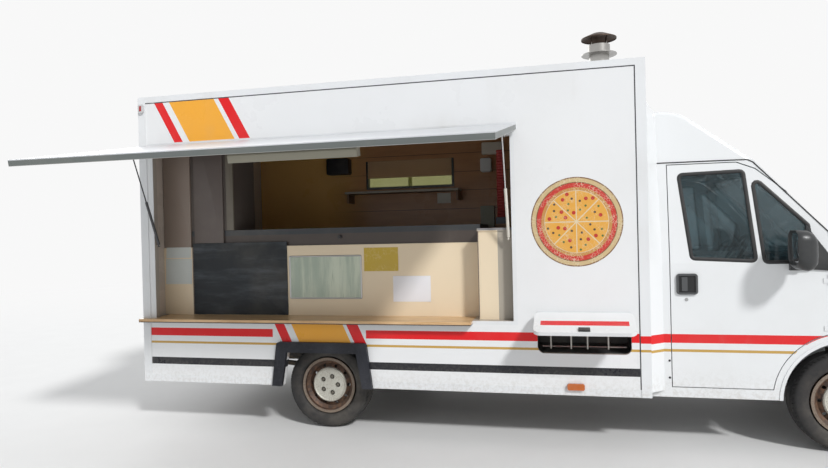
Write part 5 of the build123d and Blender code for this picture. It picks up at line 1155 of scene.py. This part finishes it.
# Window blind
# Thin wooden slats, each tilted a little, which hang in front of the far window over its
# upper half.
BLIND_X, BLIND_Z, SLATS = (-0.245, 0.692), (2.152, 2.322), 11
SLAT_HEIGHT, SLAT_TILT, SLAT_GAP = 0.019, 0.35, 0.012
SLAT_CORNER, SLAT_THICK, SLAT_EDGE = 0.002, 0.0012, 0.0004
slat = plate(BLIND_X[1] - BLIND_X[0], SLAT_HEIGHT, SLAT_CORNER, SLAT_THICK, SLAT_EDGE, 2)
slats = [placed(slat, (sum(BLIND_X) / 2, inside_face - SLAT_GAP, level), up=(0, SLAT_TILT, 1))
         for level in np.linspace(*BLIND_Z, SLATS)]
piece("window_blind", slats, finish("blind_slats", colour(0.66, 0.44, 0.25), 0.5, DUST, vary=0.2))

# Extinguisher sleeve
# A ribbed cover of dark red plastic on a grey foot, which stands at the worktop's front end.
# Its swelling follows the sine of the height.
SLEEVE_X, SLEEVE_Y, SLEEVE_Z = 1.350, -0.300, (1.660, 2.230)
RIBS, RIB_HALF, RIB_SWELL = 24, 0.030, 0.004
SLEEVE_CORNER, FOOT_SIDE, FOOT_EDGE = 0.012, 0.090, 0.004
up_sleeve = np.linspace(0, 1, RIBS * 6 + 1)
halves = RIB_HALF + RIB_SWELL * np.abs(np.sin(up_sleeve * RIBS * math.pi))
levels = SLEEVE_Z[0] + up_sleeve * (SLEEVE_Z[1] - SLEEVE_Z[0])
sleeve = solid(np.array([at_level(rounded(2 * half, 2 * half, SLEEVE_CORNER, 4), level)
                         for half, level in zip(halves, levels)]))
sleeve_foot = plate(FOOT_SIDE, FOOT_SIDE, SLEEVE_CORNER, SLEEVE_Z[0] - WORKTOP_TOP, FOOT_EDGE)
piece("extinguisher_sleeve", [placed(sleeve, (SLEEVE_X, SLEEVE_Y, 0), up=(0, 1, 0))],
      finish("dark_red", colour(0.340, 0.022, 0.018), 0.5, DUST, vary=0.2))
piece("sleeve_foot", [placed(sleeve_foot, (SLEEVE_X, SLEEVE_Y, WORKTOP_TOP), up=(0, 1, 0))],
      finish("foot_grey", colour(0.10, 0.12, 0.15), 0.5, DUST, vary=0.2))

# Oak ledge
# A varnished board of oak that runs along under the counter, where customers lean. Its lowest
# strip is painted near black as the shadow under its front edge.
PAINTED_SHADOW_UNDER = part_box("serving_shelf")[0].z + 0.007


def oak_paint(tree, place, tint, rough):
    """Grain as long thin streaks along the board, and a painted shadow in near black under its front edge."""
    streak = remap(tree, noise(tree, place, 26.0, 6.0, 0.65, (0.10, 1, 1)), 0.38, 0.66)
    result = mix(tree, streak, tint, colour(0.54, 0.320, 0.140))
    pores = remap(tree, noise(tree, place, 130.0, 3.0, 0.6, (0.05, 1, 1)), 0.60, 0.75, 0.0, 0.5)
    result = mix(tree, pores, result, colour(0.28, 0.15, 0.060))
    # Painted shadow: the lowest strip of the board in near black.
    painted_shadow = under(tree, split(tree, place)[2], PAINTED_SHADOW_UNDER)
    return mix(tree, painted_shadow, result, colour(0.035, 0.020, 0.014)), rough


dress("serving_shelf", finish(
    "oak", colour(0.80, 0.53, 0.28), 0.35, (0.06, 0.0, 0.0, 0.5), coat=0.3, bump=(0.0002, 120.0), vary=0.2,
    paint=oak_paint))

# Flue
# Spun stainless steel: a pipe through the roof, a drum and a dished cowl on four rods. Soot has
# smoked it brown at the cap.
CAP_HEIGHT, SMOKED_BELOW = 0.082, 0.03
CAP_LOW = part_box("flue")[1].z - CAP_HEIGHT


def smoked(tree, place, tint, rough):
    """Soot burnt brown on the cap, thinning down the pipe below it."""
    cap = remap(tree, split(tree, place)[2], CAP_LOW - SMOKED_BELOW, CAP_LOW)
    return mix(tree, cap, tint, colour(0.085, 0.062, 0.050)), plus(tree, rough, times(tree, cap, 0.2))


dress("flue", finish(
    "flue_steel", colour(0.46, 0.45, 0.43), 0.30, (0.35, 0.8, 0.0, 0.5), metallic=1.0, bump=(0.0003, 60.0),
    vary=0.25, dirt_colour=colour(0.080, 0.052, 0.036), paint=smoked))

# Hatch light and struts
# A batten light in an opal cover under the hatch, dim beige as painted shade, and two gas struts
# that hold the hatch up: the rear one painted dark as shade, the front one painted pale as sunlight.


def shaded_rear_lit_front(rear, front):
    """A paint function that gives the rear strut a dark colour as painted shade and the front strut a pale
    one as painted sunlight.
    """
    def paint(tree, place, tint, rough):
        return mix(tree, over(tree, split(tree, place)[0], 0.0), rear, front), rough
    return paint


# Painted shade: the opal cover's dim beige.
dress("hatch_light", finish("opal", colour(0.28, 0.265, 0.205), 0.35, GRIME, vary=0.03))
dress("strut_tubes", finish(
    "strut_paint", colour(0.05, 0.05, 0.055), 0.35, GRIME, coat=0.3, vary=0.1,
    paint=shaded_rear_lit_front(colour(0.045, 0.045, 0.05), colour(0.70, 0.67, 0.60))))
dress("strut_rods", finish(
    "strut_steel", colour(0.5, 0.5, 0.5), 0.2, CLEAN, metallic=0.6, vary=0.05,
    paint=shaded_rear_lit_front(colour(0.06, 0.06, 0.065), colour(0.60, 0.60, 0.60))))

# Gas locker
# A galvanised tray behind the lid, painted near black as the shade inside the locker, with four
# upright steel pipes in it and one that runs across their feet.
PIPE_RADIUS, PIPE_Y = 0.007, -0.990
PIPES_X, PIPE_FOOT, PIPE_TOP = (1.760, 1.905, 2.020, 2.165), 0.676, 0.926
CROSS_X, CROSS_Z, CROSS_BEHIND = (1.70, 1.95, 2.29), 0.690, 0.012
ROUND_BAR = 8
pipe_levels = (PIPE_FOOT, (PIPE_FOOT + PIPE_TOP) / 2, PIPE_TOP)
pipe_paths = [[(x, PIPE_Y, z) for z in pipe_levels] for x in PIPES_X]
pipe_paths.append([(x, PIPE_Y + CROSS_BEHIND, CROSS_Z) for x in CROSS_X])
# Painted shade: the tray's near-black colour.
dress("locker_box", finish(
    "galvanised", colour(0.12, 0.12, 0.12), 0.5, (0.3, 0.2, 0.0, 0.5), metallic=0.6, bump=(0.0003, 40.0),
    vary=0.3))
piece("locker_pipes", [carried(path, circle(PIPE_RADIUS, ROUND_BAR), (0, -1, 0)) for path in pipe_paths],
      finish("pipe_steel", colour(0.42, 0.40, 0.37), 0.3, (0.2, 0.1, 0.0, 0.5), metallic=0.9, vary=0.2))

# Plastic trim and dashboard
# Grained black mouldings, clipped or screwed to the cab: bumper, grille, mirror carriers with
# the door handles, and dashboard.
HANDLES_BEFORE, HANDLES_UNDER, HANDLE_RIM_OUTSIDE = 2.80, 1.25, 0.9945


def handle_paint(tree, place, tint, rough):
    """A grey rim round the door handle's black recess."""
    x, y, z = split(tree, place)
    handle = times(tree, under(tree, x, HANDLES_BEFORE), under(tree, z, HANDLES_UNDER))
    rim = over(tree, calc(tree, "ABSOLUTE", y), HANDLE_RIM_OUTSIDE)
    face = mix(tree, rim, colour(0.008, 0.008, 0.009), colour(0.070, 0.072, 0.075))
    return mix(tree, handle, tint, face), rough


dress("front_bumper grille", finish(
    "bumper_plastic", colour(0.030, 0.031, 0.034), 0.5, (0.15, 0.1, 0.5, 0.6), bump=(0.0002, 500.0),
    vary=0.2, paint=scuffed(amount=0.5)))
mirror_plastic = finish("mirror_plastic", colour(0.020, 0.023, 0.026), 0.36, (0.08, 0.05, 0.0, 0.5),
                        bump=(0.0002, 500.0), vary=0.2, paint=handle_paint)
dress("door_mirror_left door_mirror_right", mirror_plastic)
dress("dashboard", finish(
    "dash_plastic", colour(0.045, 0.045, 0.048), 0.6, (0.15, 0.0, 0.0, 0.5), bump=(0.0003, 350.0),
    vary=0.15))

# Seats
# Foam cushions in grey-blue cloth on a painted plinth: a driver's seat and a double bench, each
# with a backrest, and a headrest on two posts. Their crowns and sewn channels come by formula.
SEATS = (
    # name, y from and to, seams across the seat
    ("driver", 0.180, 0.680, ()),
    ("bench", -0.700, -0.060, (0.0,)),
)
SEAT_LEAN = math.radians(12)
SEAT_UP = (-math.sin(SEAT_LEAN), 0, math.cos(SEAT_LEAN))
CUSHION_AT, BACK_AT, HEADREST_AT = (2.990, 0.9415), (2.760, 1.314), (2.680, 1.694)
CUSHION_LONG, CUSHION_THICK = 0.248, 0.071
BACK_LONG, BACK_THICK = 0.318, 0.063
HEADREST_HALF, HEADREST_CROWN, HEADREST_PULL = (0.128, 0.083, 0.048), 0.20, 0.04
SEAT_CROWN, SEAT_PULL = 0.22, 0.03
CUSHION_FLUTES, BACK_FLUTES = (-0.35, 0.35), (-0.45, -0.10, 0.25, 0.60)
CUSHION_POWER = 7
CHANNEL_WIDTH, CHANNEL_DEPTH = 0.0075, 0.011
SEAT_CLEARANCE = 0.002
PLINTH_X, PLINTH_LONG, PLINTH_INSET = 2.980, 0.440, 0.080
PLINTH_FOOT, PLINTH_HEIGHT, PLINTH_CORNER, PLINTH_EDGE = 0.6145, 0.2595, 0.030, 0.010
POST_RADIUS, POSTS_ASIDE = 0.006, (-0.06, 0.06)
POST_PATH = ((2.712, 1.560), (2.702, 1.605), (2.692, 1.650))
YARNS = 1400.0


def padded_block(half, crown, pull, channels, steps=44):
    """
    A cube's grid is drawn in to a superellipsoid, then scaled to the half sizes. The crown swells its
    thickness by (1 - u squared)(1 - v squared), each side pulls in by (1 - the square of its way along),
    and each channel presses the cover in by a bell curve across it, dying out at the sides.
    """
    grid = np.linspace(-1, 1, steps + 1)
    u, v = np.meshgrid(grid, grid, indexing="ij")
    one = np.ones_like(u)
    sides = ((u, v, one), (v, u, -one), (one, u, v), (-one, v, u), (v, one, u), (u, -one, v))
    points = np.concatenate([np.stack(side, 2).reshape(-1, 3) for side in sides])
    points /= (np.sum(np.abs(points) ** CUSHION_POWER, 1) ** (1 / CUSHION_POWER))[:, None]
    u, v, w = points.T
    thick = 1 - crown + crown * (1 - u ** 2) * (1 - v ** 2)
    for place, axis in channels:
        apart = (points[:, axis] - place) * half[axis] / CHANNEL_WIDTH
        pressed = CHANNEL_DEPTH / half[2] * np.exp(-apart ** 2)
        thick = thick - pressed * (1 - np.abs(points[:, 1 - axis]) ** 6)
    shaped = np.stack([u * (1 - pull * (1 - v ** 2)), v * (1 - pull * (1 - u ** 2)), w * thick], 1) * half
    quads = grid_quads(steps + 1)
    return shaped, np.concatenate([quads + side * (steps + 1) ** 2 for side in range(6)]).tolist()


def cloth_paint(tree, place, tint, rough):
    """Two yarns crossing: fine bands along each axis, and a faint fleck."""
    x, y, z = split(tree, place)
    warp, weft = (calc(tree, "ABSOLUTE", calc(tree, "SINE", times(tree, axis, YARNS)))
                  for axis in (y, plus(tree, x, z)))
    woven = mix(tree, times(tree, warp, weft), colour(0.060, 0.068, 0.082), tint)
    fleck = remap(tree, noise(tree, place, 220.0, 3.0), 0.60, 0.72, 0.0, 0.6)
    return mix(tree, fleck, woven, colour(0.26, 0.28, 0.32)), rough


seat_cloth = finish("seat_cloth", colour(0.150, 0.165, 0.195), 0.88, DUST, bump=(0.0005, 700.0),
                    vary=0.2, paint=cloth_paint, extra={"Sheen Weight": 0.35, "Sheen Roughness": 0.5})
plinth_paint = finish("plinth_paint", colour(0.035, 0.035, 0.038), 0.5, (0.2, 0.0, 0.0, 0.5), vary=0.2)
for name, low, high, seams in SEATS:
    middle, wide = (low + high) / 2, high - low
    half = wide / 2 - SEAT_CLEARANCE
    cushion = padded_block((CUSHION_LONG, half, CUSHION_THICK), SEAT_CROWN, SEAT_PULL,
                           [(seam, 1) for seam in seams] + [(flute, 0) for flute in CUSHION_FLUTES])
    backrest = padded_block((half, BACK_LONG, BACK_THICK), SEAT_CROWN, SEAT_PULL,
                            [(seam, 0) for seam in seams] + [(flute, 1) for flute in BACK_FLUTES])
    headrest = padded_block(HEADREST_HALF, HEADREST_CROWN, HEADREST_PULL, [(0.0, 1)])
    padding = (
        # part, shape, x and level of its middle, the two directions that its half sizes count along
        ("cushion", cushion, CUSHION_AT, (1, 0, 0), (0, 1, 0)),
        ("backrest", backrest, BACK_AT, (0, 1, 0), SEAT_UP),
        ("headrest_0", headrest, HEADREST_AT, (0, 1, 0), SEAT_UP),
    )
    for part, shape, (x, z), right, up in padding:
        made = piece(f"{name}_{part}", [placed(shape, (x, middle, z), right, up)], seat_cloth, merge=1e-5)
        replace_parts(made, "seats")
    plinth = plate(PLINTH_LONG, wide - PLINTH_INSET, PLINTH_CORNER, PLINTH_HEIGHT, PLINTH_EDGE)
    shapes = [placed(plinth, (PLINTH_X, middle, PLINTH_FOOT), up=(0, 1, 0))]
    shapes += [carried([(x, middle + aside, z) for x, z in POST_PATH], circle(POST_RADIUS, ROUND_BAR),
                       (1, 0, 0)) for aside in POSTS_ASIDE]
    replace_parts(piece(name + "_plinth", shapes, plinth_paint), "seats")

# Cab glass
# Tempered side panes in the doors, and a laminated windscreen bonded to its frame. They are
# faintly green, with a film of dust.


def pane(name, tint, dense, clear=0.92):
    """Safety glass: its alpha is a base density, and more where the clouds of dust lie."""
    made, tree, place = new_material(name)
    dust = remap(tree, noise(tree, place, 3.0, 6.0), 0.45, 0.8, 0.0, 0.10)
    values = {"Base Color": tint, "Roughness": 0.02, "IOR": 1.45, "Transmission Weight": clear,
              "Alpha": plus(tree, dense, dust)}
    surface(tree, add(tree, "BsdfPrincipled", values))
    return made


dress("windscreen door_glass_left door_glass_right", pane("safety_glass", colour(0.05, 0.105, 0.125), 0.62))

# Far window
# A long tinted pane set in the left wall. It is dark at its frame, and lit from outside in
# its middle.
LIT_X, LIT_Z = (-0.240, 0.690), (2.050, 2.305)
lit_glass, tree, place = new_material("lit_glass")
x, _, z = split(tree, place)
lit = times(tree, between(tree, x, *LIT_X), between(tree, z, *LIT_Z))
clouds = mix(tree, noise(tree, place, 5.0), colour(0.26, 0.27, 0.10), colour(0.36, 0.35, 0.17))
tint = mix(tree, lit, colour(0.012, 0.011, 0.010), clouds)
values = {"Base Color": tint, "Roughness": 0.22, "IOR": 1.45, "Transmission Weight": 0.85}
surface(tree, add(tree, "BsdfPrincipled", values))
dress("back_window", lit_glass)

# Head lamps
# A fluted clear lens at each end of the grille, painted with highlights on its flutes that
# stand for a bright bowl behind it, with the amber indicator at its outer end.
FLUTES_A_METRE = 75.0
INDICATOR_FROM = 0.770


def lamp_paint(tree, place, tint, rough):
    """Each flute runs from dark at its middle to a painted highlight at its edges, in clear or amber by
    place.
    """
    aside = calc(tree, "ABSOLUTE", split(tree, place)[1])
    flute = minus(tree, calc(tree, "FRACT", times(tree, aside, FLUTES_A_METRE)), 0.5)
    # Painted highlight: the light edges of each flute.
    light = remap(tree, calc(tree, "ABSOLUTE", flute), 0.0, 0.45)
    clear = mix(tree, light, colour(0.22, 0.23, 0.24), colour(0.66, 0.68, 0.70))
    amber = mix(tree, light, colour(0.50, 0.14, 0.010), colour(0.78, 0.28, 0.030))
    return mix(tree, over(tree, aside, INDICATOR_FROM), clear, amber), rough


dress("headlamps", finish(
    "lamp_lens", colour(0.6, 0.6, 0.6), 0.06, (0.08, 0.05, 0.1, 0.8), metallic=0.35, coat=1.0, vary=0.02,
    paint=lamp_paint))

# Side window seals and drip rails
# Black rubber mouldings round both panes of each door, and a rail over each door that leads
# the rain down the windscreen post.
SIDES = ((-1, "right"), (1, "left"))
MAIN_WINDOW = ((2.738, 1.322), (3.150, 1.300), (3.090, 1.925), (2.668, 1.915))
QUARTER_WINDOW = ((3.202, 1.292), (3.505, 1.292), (3.478, 1.540), (3.142, 1.892))
WINDOW_CORNER = 0.026
WAIST, CAB_TOP = 1.290, 2.006
CAB_HALF, LEAN_IN = 0.985, 0.067
SEAL_WIDTH, SEAL_PROUD = 0.026, 0.0045
RAIL_WIDTH, RAIL_DEPTH, RAIL_PROUD = 0.008, 0.005, 0.0005
DRIP_RAIL = (
    # x, level
    (2.500, 2.004), (2.90, 2.004), (3.120, 2.003), (3.155, 1.985), (3.300, 1.824), (3.540, 1.557),
    (3.760, 1.313),
)


def cab_side(points, side, proud=0.0):
    """Places on the cab's flank: upright below the waist, and leaning in above it."""
    x, z = np.array(points, float).T
    half = CAB_HALF - LEAN_IN * np.clip((z - WAIST) / (CAB_TOP - WAIST), 0, 1)
    return np.stack([x, side * (half + proud), z], 1)


rubber = finish("rubber", colour(0.012, 0.012, 0.013), 0.5, (0.04, 0.03, 0.0, 0.5),
                bump=(0.0002, 300.0), vary=0.3)
for side, word in SIDES:
    facing = (0, side, LEAN_IN / (CAB_TOP - WAIST))
    seals = [carried(cab_side(eased(window, WINDOW_CORNER), side), bead(SEAL_WIDTH, SEAL_PROUD), facing, True)
             for window in (MAIN_WINDOW, QUARTER_WINDOW)]
    piece("window_seals_" + word, seals, rubber, "cab_door_" + word)
    rail = carried(cab_side(DRIP_RAIL, side, RAIL_PROUD), bead(RAIL_WIDTH, RAIL_DEPTH), facing)
    piece("drip_rail_" + word, [rail], rubber)

# Door mirrors
# A deep moulded dome over the carrier, its glass set in from behind, and a flat black corner
# plate on the door that the arm comes out of.
MIRROR_MIDDLE, MIRROR_ROUNDNESS = 1.175, 0.62
MIRROR_RINGS = (
    # x, half width, half height, level of the middle
    (3.3345, 0.102, 0.107, 1.395), (3.324, 0.103, 0.108, 1.395), (3.320, 0.107, 0.112, 1.394),
    (3.326, 0.111, 0.119, 1.389), (3.350, 0.113, 0.128, 1.380), (3.390, 0.108, 0.130, 1.374),
    (3.422, 0.094, 0.117, 1.371), (3.444, 0.070, 0.090, 1.370), (3.456, 0.038, 0.052, 1.370),
    (3.459, 0.008, 0.012, 1.370),
)
MIRROR_GLASS_X, MIRROR_GLASS_Z = 3.3355, 1.395
MIRROR_WIDE, MIRROR_HIGH, MIRROR_CORNER, MIRROR_DEPTH = 0.178, 0.188, 0.020, 0.003
CORNER_PLATE = (
    # x, level
    (3.395, 1.290), (3.430, 1.243), (3.590, 1.232), (3.592, 1.290), (3.588, 1.350), (3.505, 1.475),
    (3.462, 1.545), (3.440, 1.400),
)
CORNER_PLATE_LEVELS = (-0.002, 0.011, 0.014)
CORNER_PLATE_TAPER = 0.04


def mirror_dome(side):
    """Rounded rectangles carried forwards: in from the glass, round the lip, and out over the dome."""
    rings = []
    for x, half_width, half_height, middle in MIRROR_RINGS:
        y, z = rounded(2 * half_width, 2 * half_height, MIRROR_ROUNDNESS * half_width).T
        rings.append(np.stack([np.full(len(y), x), side * MIRROR_MIDDLE + y, middle + z], 1))
    return solid(np.array(rings))


def corner_plate(side):
    """The plate's outline at three levels out from the door, the last drawn in to its middle."""
    inner, outer, top = (cab_side(CORNER_PLATE, side, proud) for proud in CORNER_PLATE_LEVELS)
    top = top * (1 - CORNER_PLATE_TAPER) + top.mean(0) * CORNER_PLATE_TAPER
    return solid(np.array([inner, outer, top]))


silvered = finish("silvered_glass", colour(0.80, 0.82, 0.84), 0.03, CLEAN, metallic=1.0, vary=0.02)
mirror_pane = plate(MIRROR_WIDE, MIRROR_HIGH, MIRROR_CORNER, MIRROR_DEPTH)
for side, word in SIDES:
    door = "cab_door_" + word
    piece("mirror_corner_" + word, [corner_plate(side)], mirror_plastic, door)
    piece("mirror_dome_" + word, [mirror_dome(side)], mirror_plastic, door, crease=60)
    pane_at = (MIRROR_GLASS_X, side * MIRROR_MIDDLE, MIRROR_GLASS_Z)
    piece("mirror_glass_" + word, [placed(mirror_pane, pane_at, (0, -1, 0))], silvered, door)

# Door locks and post screws
# A round aluminium lock under each door handle, and two screws with black caps in the post
# behind each door.
LOCK_AT, SCREW_X, SCREW_LEVELS = (2.697, 1.036), 2.577, (0.605, 0.485)
LOCK_PROFILE = ((0.0005, 0.0), (0.012, 0.0), (0.012, 0.002), (0.010, 0.004), (0.0005, 0.004))
SCREW_PROFILE = ((0.0005, 0.0), (0.008, 0.0), (0.0075, 0.003), (0.0005, 0.0035))
for side, word in SIDES:
    screws = [placed(turned(SCREW_PROFILE, 16), (SCREW_X, side * CAB_HALF, level), (-side, 0, 0))
              for level in SCREW_LEVELS]
    piece("post_screws_" + word, screws, rubber)
    lock = placed(turned(LOCK_PROFILE, 24), cab_side([LOCK_AT], side)[0], (-side, 0, 0))
    piece("door_lock_" + word, [lock], aluminium, "cab_door_" + word)

# Windscreen seal and wipers
# A moulded rubber frame round the bonded screen, and two plain wipers, each an arm and a
# blade, parked low on it.
BOW_RADIUS = 4.2758
SCREEN_FOOT, SCREEN_LEAN = 3.898, 0.9
SCREEN_CORNERS = ((-0.842, 1.335), (0.842, 1.335), (0.790, 1.950), (-0.790, 1.950))
SCREEN_ROUNDING, SCREEN_SEAL_WIDTH, SCREEN_SEAL_DEPTH = 0.070, 0.034, 0.006
WIPERS = (
    # pivot's y, reach
    (-0.62, 0.56),
    (0.06, 0.62),
)
BLADE_FROM, BLADE_FOOT, BLADE_RISE, BLADE_PROUD = 0.05, 1.352, 0.05, 0.016
ARM_FOOT, ARM_RISE, ARM_PROUD = 1.300, 0.075, 0.028
blade_section, arm_section = rounded(0.010, 0.022, 0.003, 2), rounded(0.014, 0.008, 0.003, 2)


def on_screen(points, proud=0.0):
    """Places on the bowed, leaning windscreen, pushed out along its normal, and the normals."""
    y, z = np.array(points, float).T
    x = SCREEN_FOOT - SCREEN_LEAN * (z - WAIST) - (BOW_RADIUS - np.sqrt(BOW_RADIUS ** 2 - y ** 2))
    normal = unit(np.stack([np.ones_like(y), y / BOW_RADIUS, np.full_like(y, SCREEN_LEAN)], 1))
    return np.stack([x, y, z], 1) + proud * normal, normal


def finely(outline, steps=8):
    """The outline with that many steps on each of its sides."""
    outline = np.array(outline, float)
    share = np.arange(steps)[None, :, None] / steps
    return (outline[:, None] * (1 - share) + np.roll(outline, -1, 0)[:, None] * share).reshape(-1, 2)


def wiper_bar(start, end, count, proud, section):
    """A bar along the screen between two (y, z) places, bent to the screen's bow."""
    path, normal = on_screen(np.linspace(start, end, count), proud)
    return carried(path, section, normal)


screen_path, screen_normal = on_screen(finely(eased(SCREEN_CORNERS, SCREEN_ROUNDING)))
seal_section = bead(SCREEN_SEAL_WIDTH, SCREEN_SEAL_DEPTH)
piece("windscreen_seal", [carried(screen_path, seal_section, screen_normal, True)], rubber)
bars = []
for pivot_y, reach in WIPERS:
    blade_y = pivot_y + BLADE_FROM
    bars.append(wiper_bar((blade_y, BLADE_FOOT), (blade_y + reach, BLADE_FOOT + BLADE_RISE), 9, BLADE_PROUD,
                          blade_section))
    bars.append(wiper_bar((pivot_y, ARM_FOOT), (pivot_y + reach / 2, ARM_FOOT + ARM_RISE), 5, ARM_PROUD,
                          arm_section))
piece("wipers", bars, black_metal)

# Plates
# Blank white number plates of thin sheet with round corners, one on the front bumper and one
# on the rear frame.
PLATE_WIDE, PLATE_HIGH, PLATE_CORNER, PLATE_DEPTH = 0.520, 0.110, 0.008, 0.003
PLATES = (
    # name, place, way that its width runs
    ("plate_front", (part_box("front_bumper")[1].x - 0.001, 0, 0.455), (0, 1, 0)),
    ("plate_rear", (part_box("box_trims")[0].x, 0.60, 0.60), (0, -1, 0)),
)
plate_white = finish("plate_white", colour(0.74, 0.74, 0.72), 0.3, (0.15, 0.1, 0.5, 0.8), bump=(0.0002, 90.0),
                     vary=0.05)
for name, at, right in PLATES:
    sheet = plate(PLATE_WIDE, PLATE_HIGH, PLATE_CORNER, PLATE_DEPTH)
    piece(name, [placed(sheet, at, right)], plate_white)
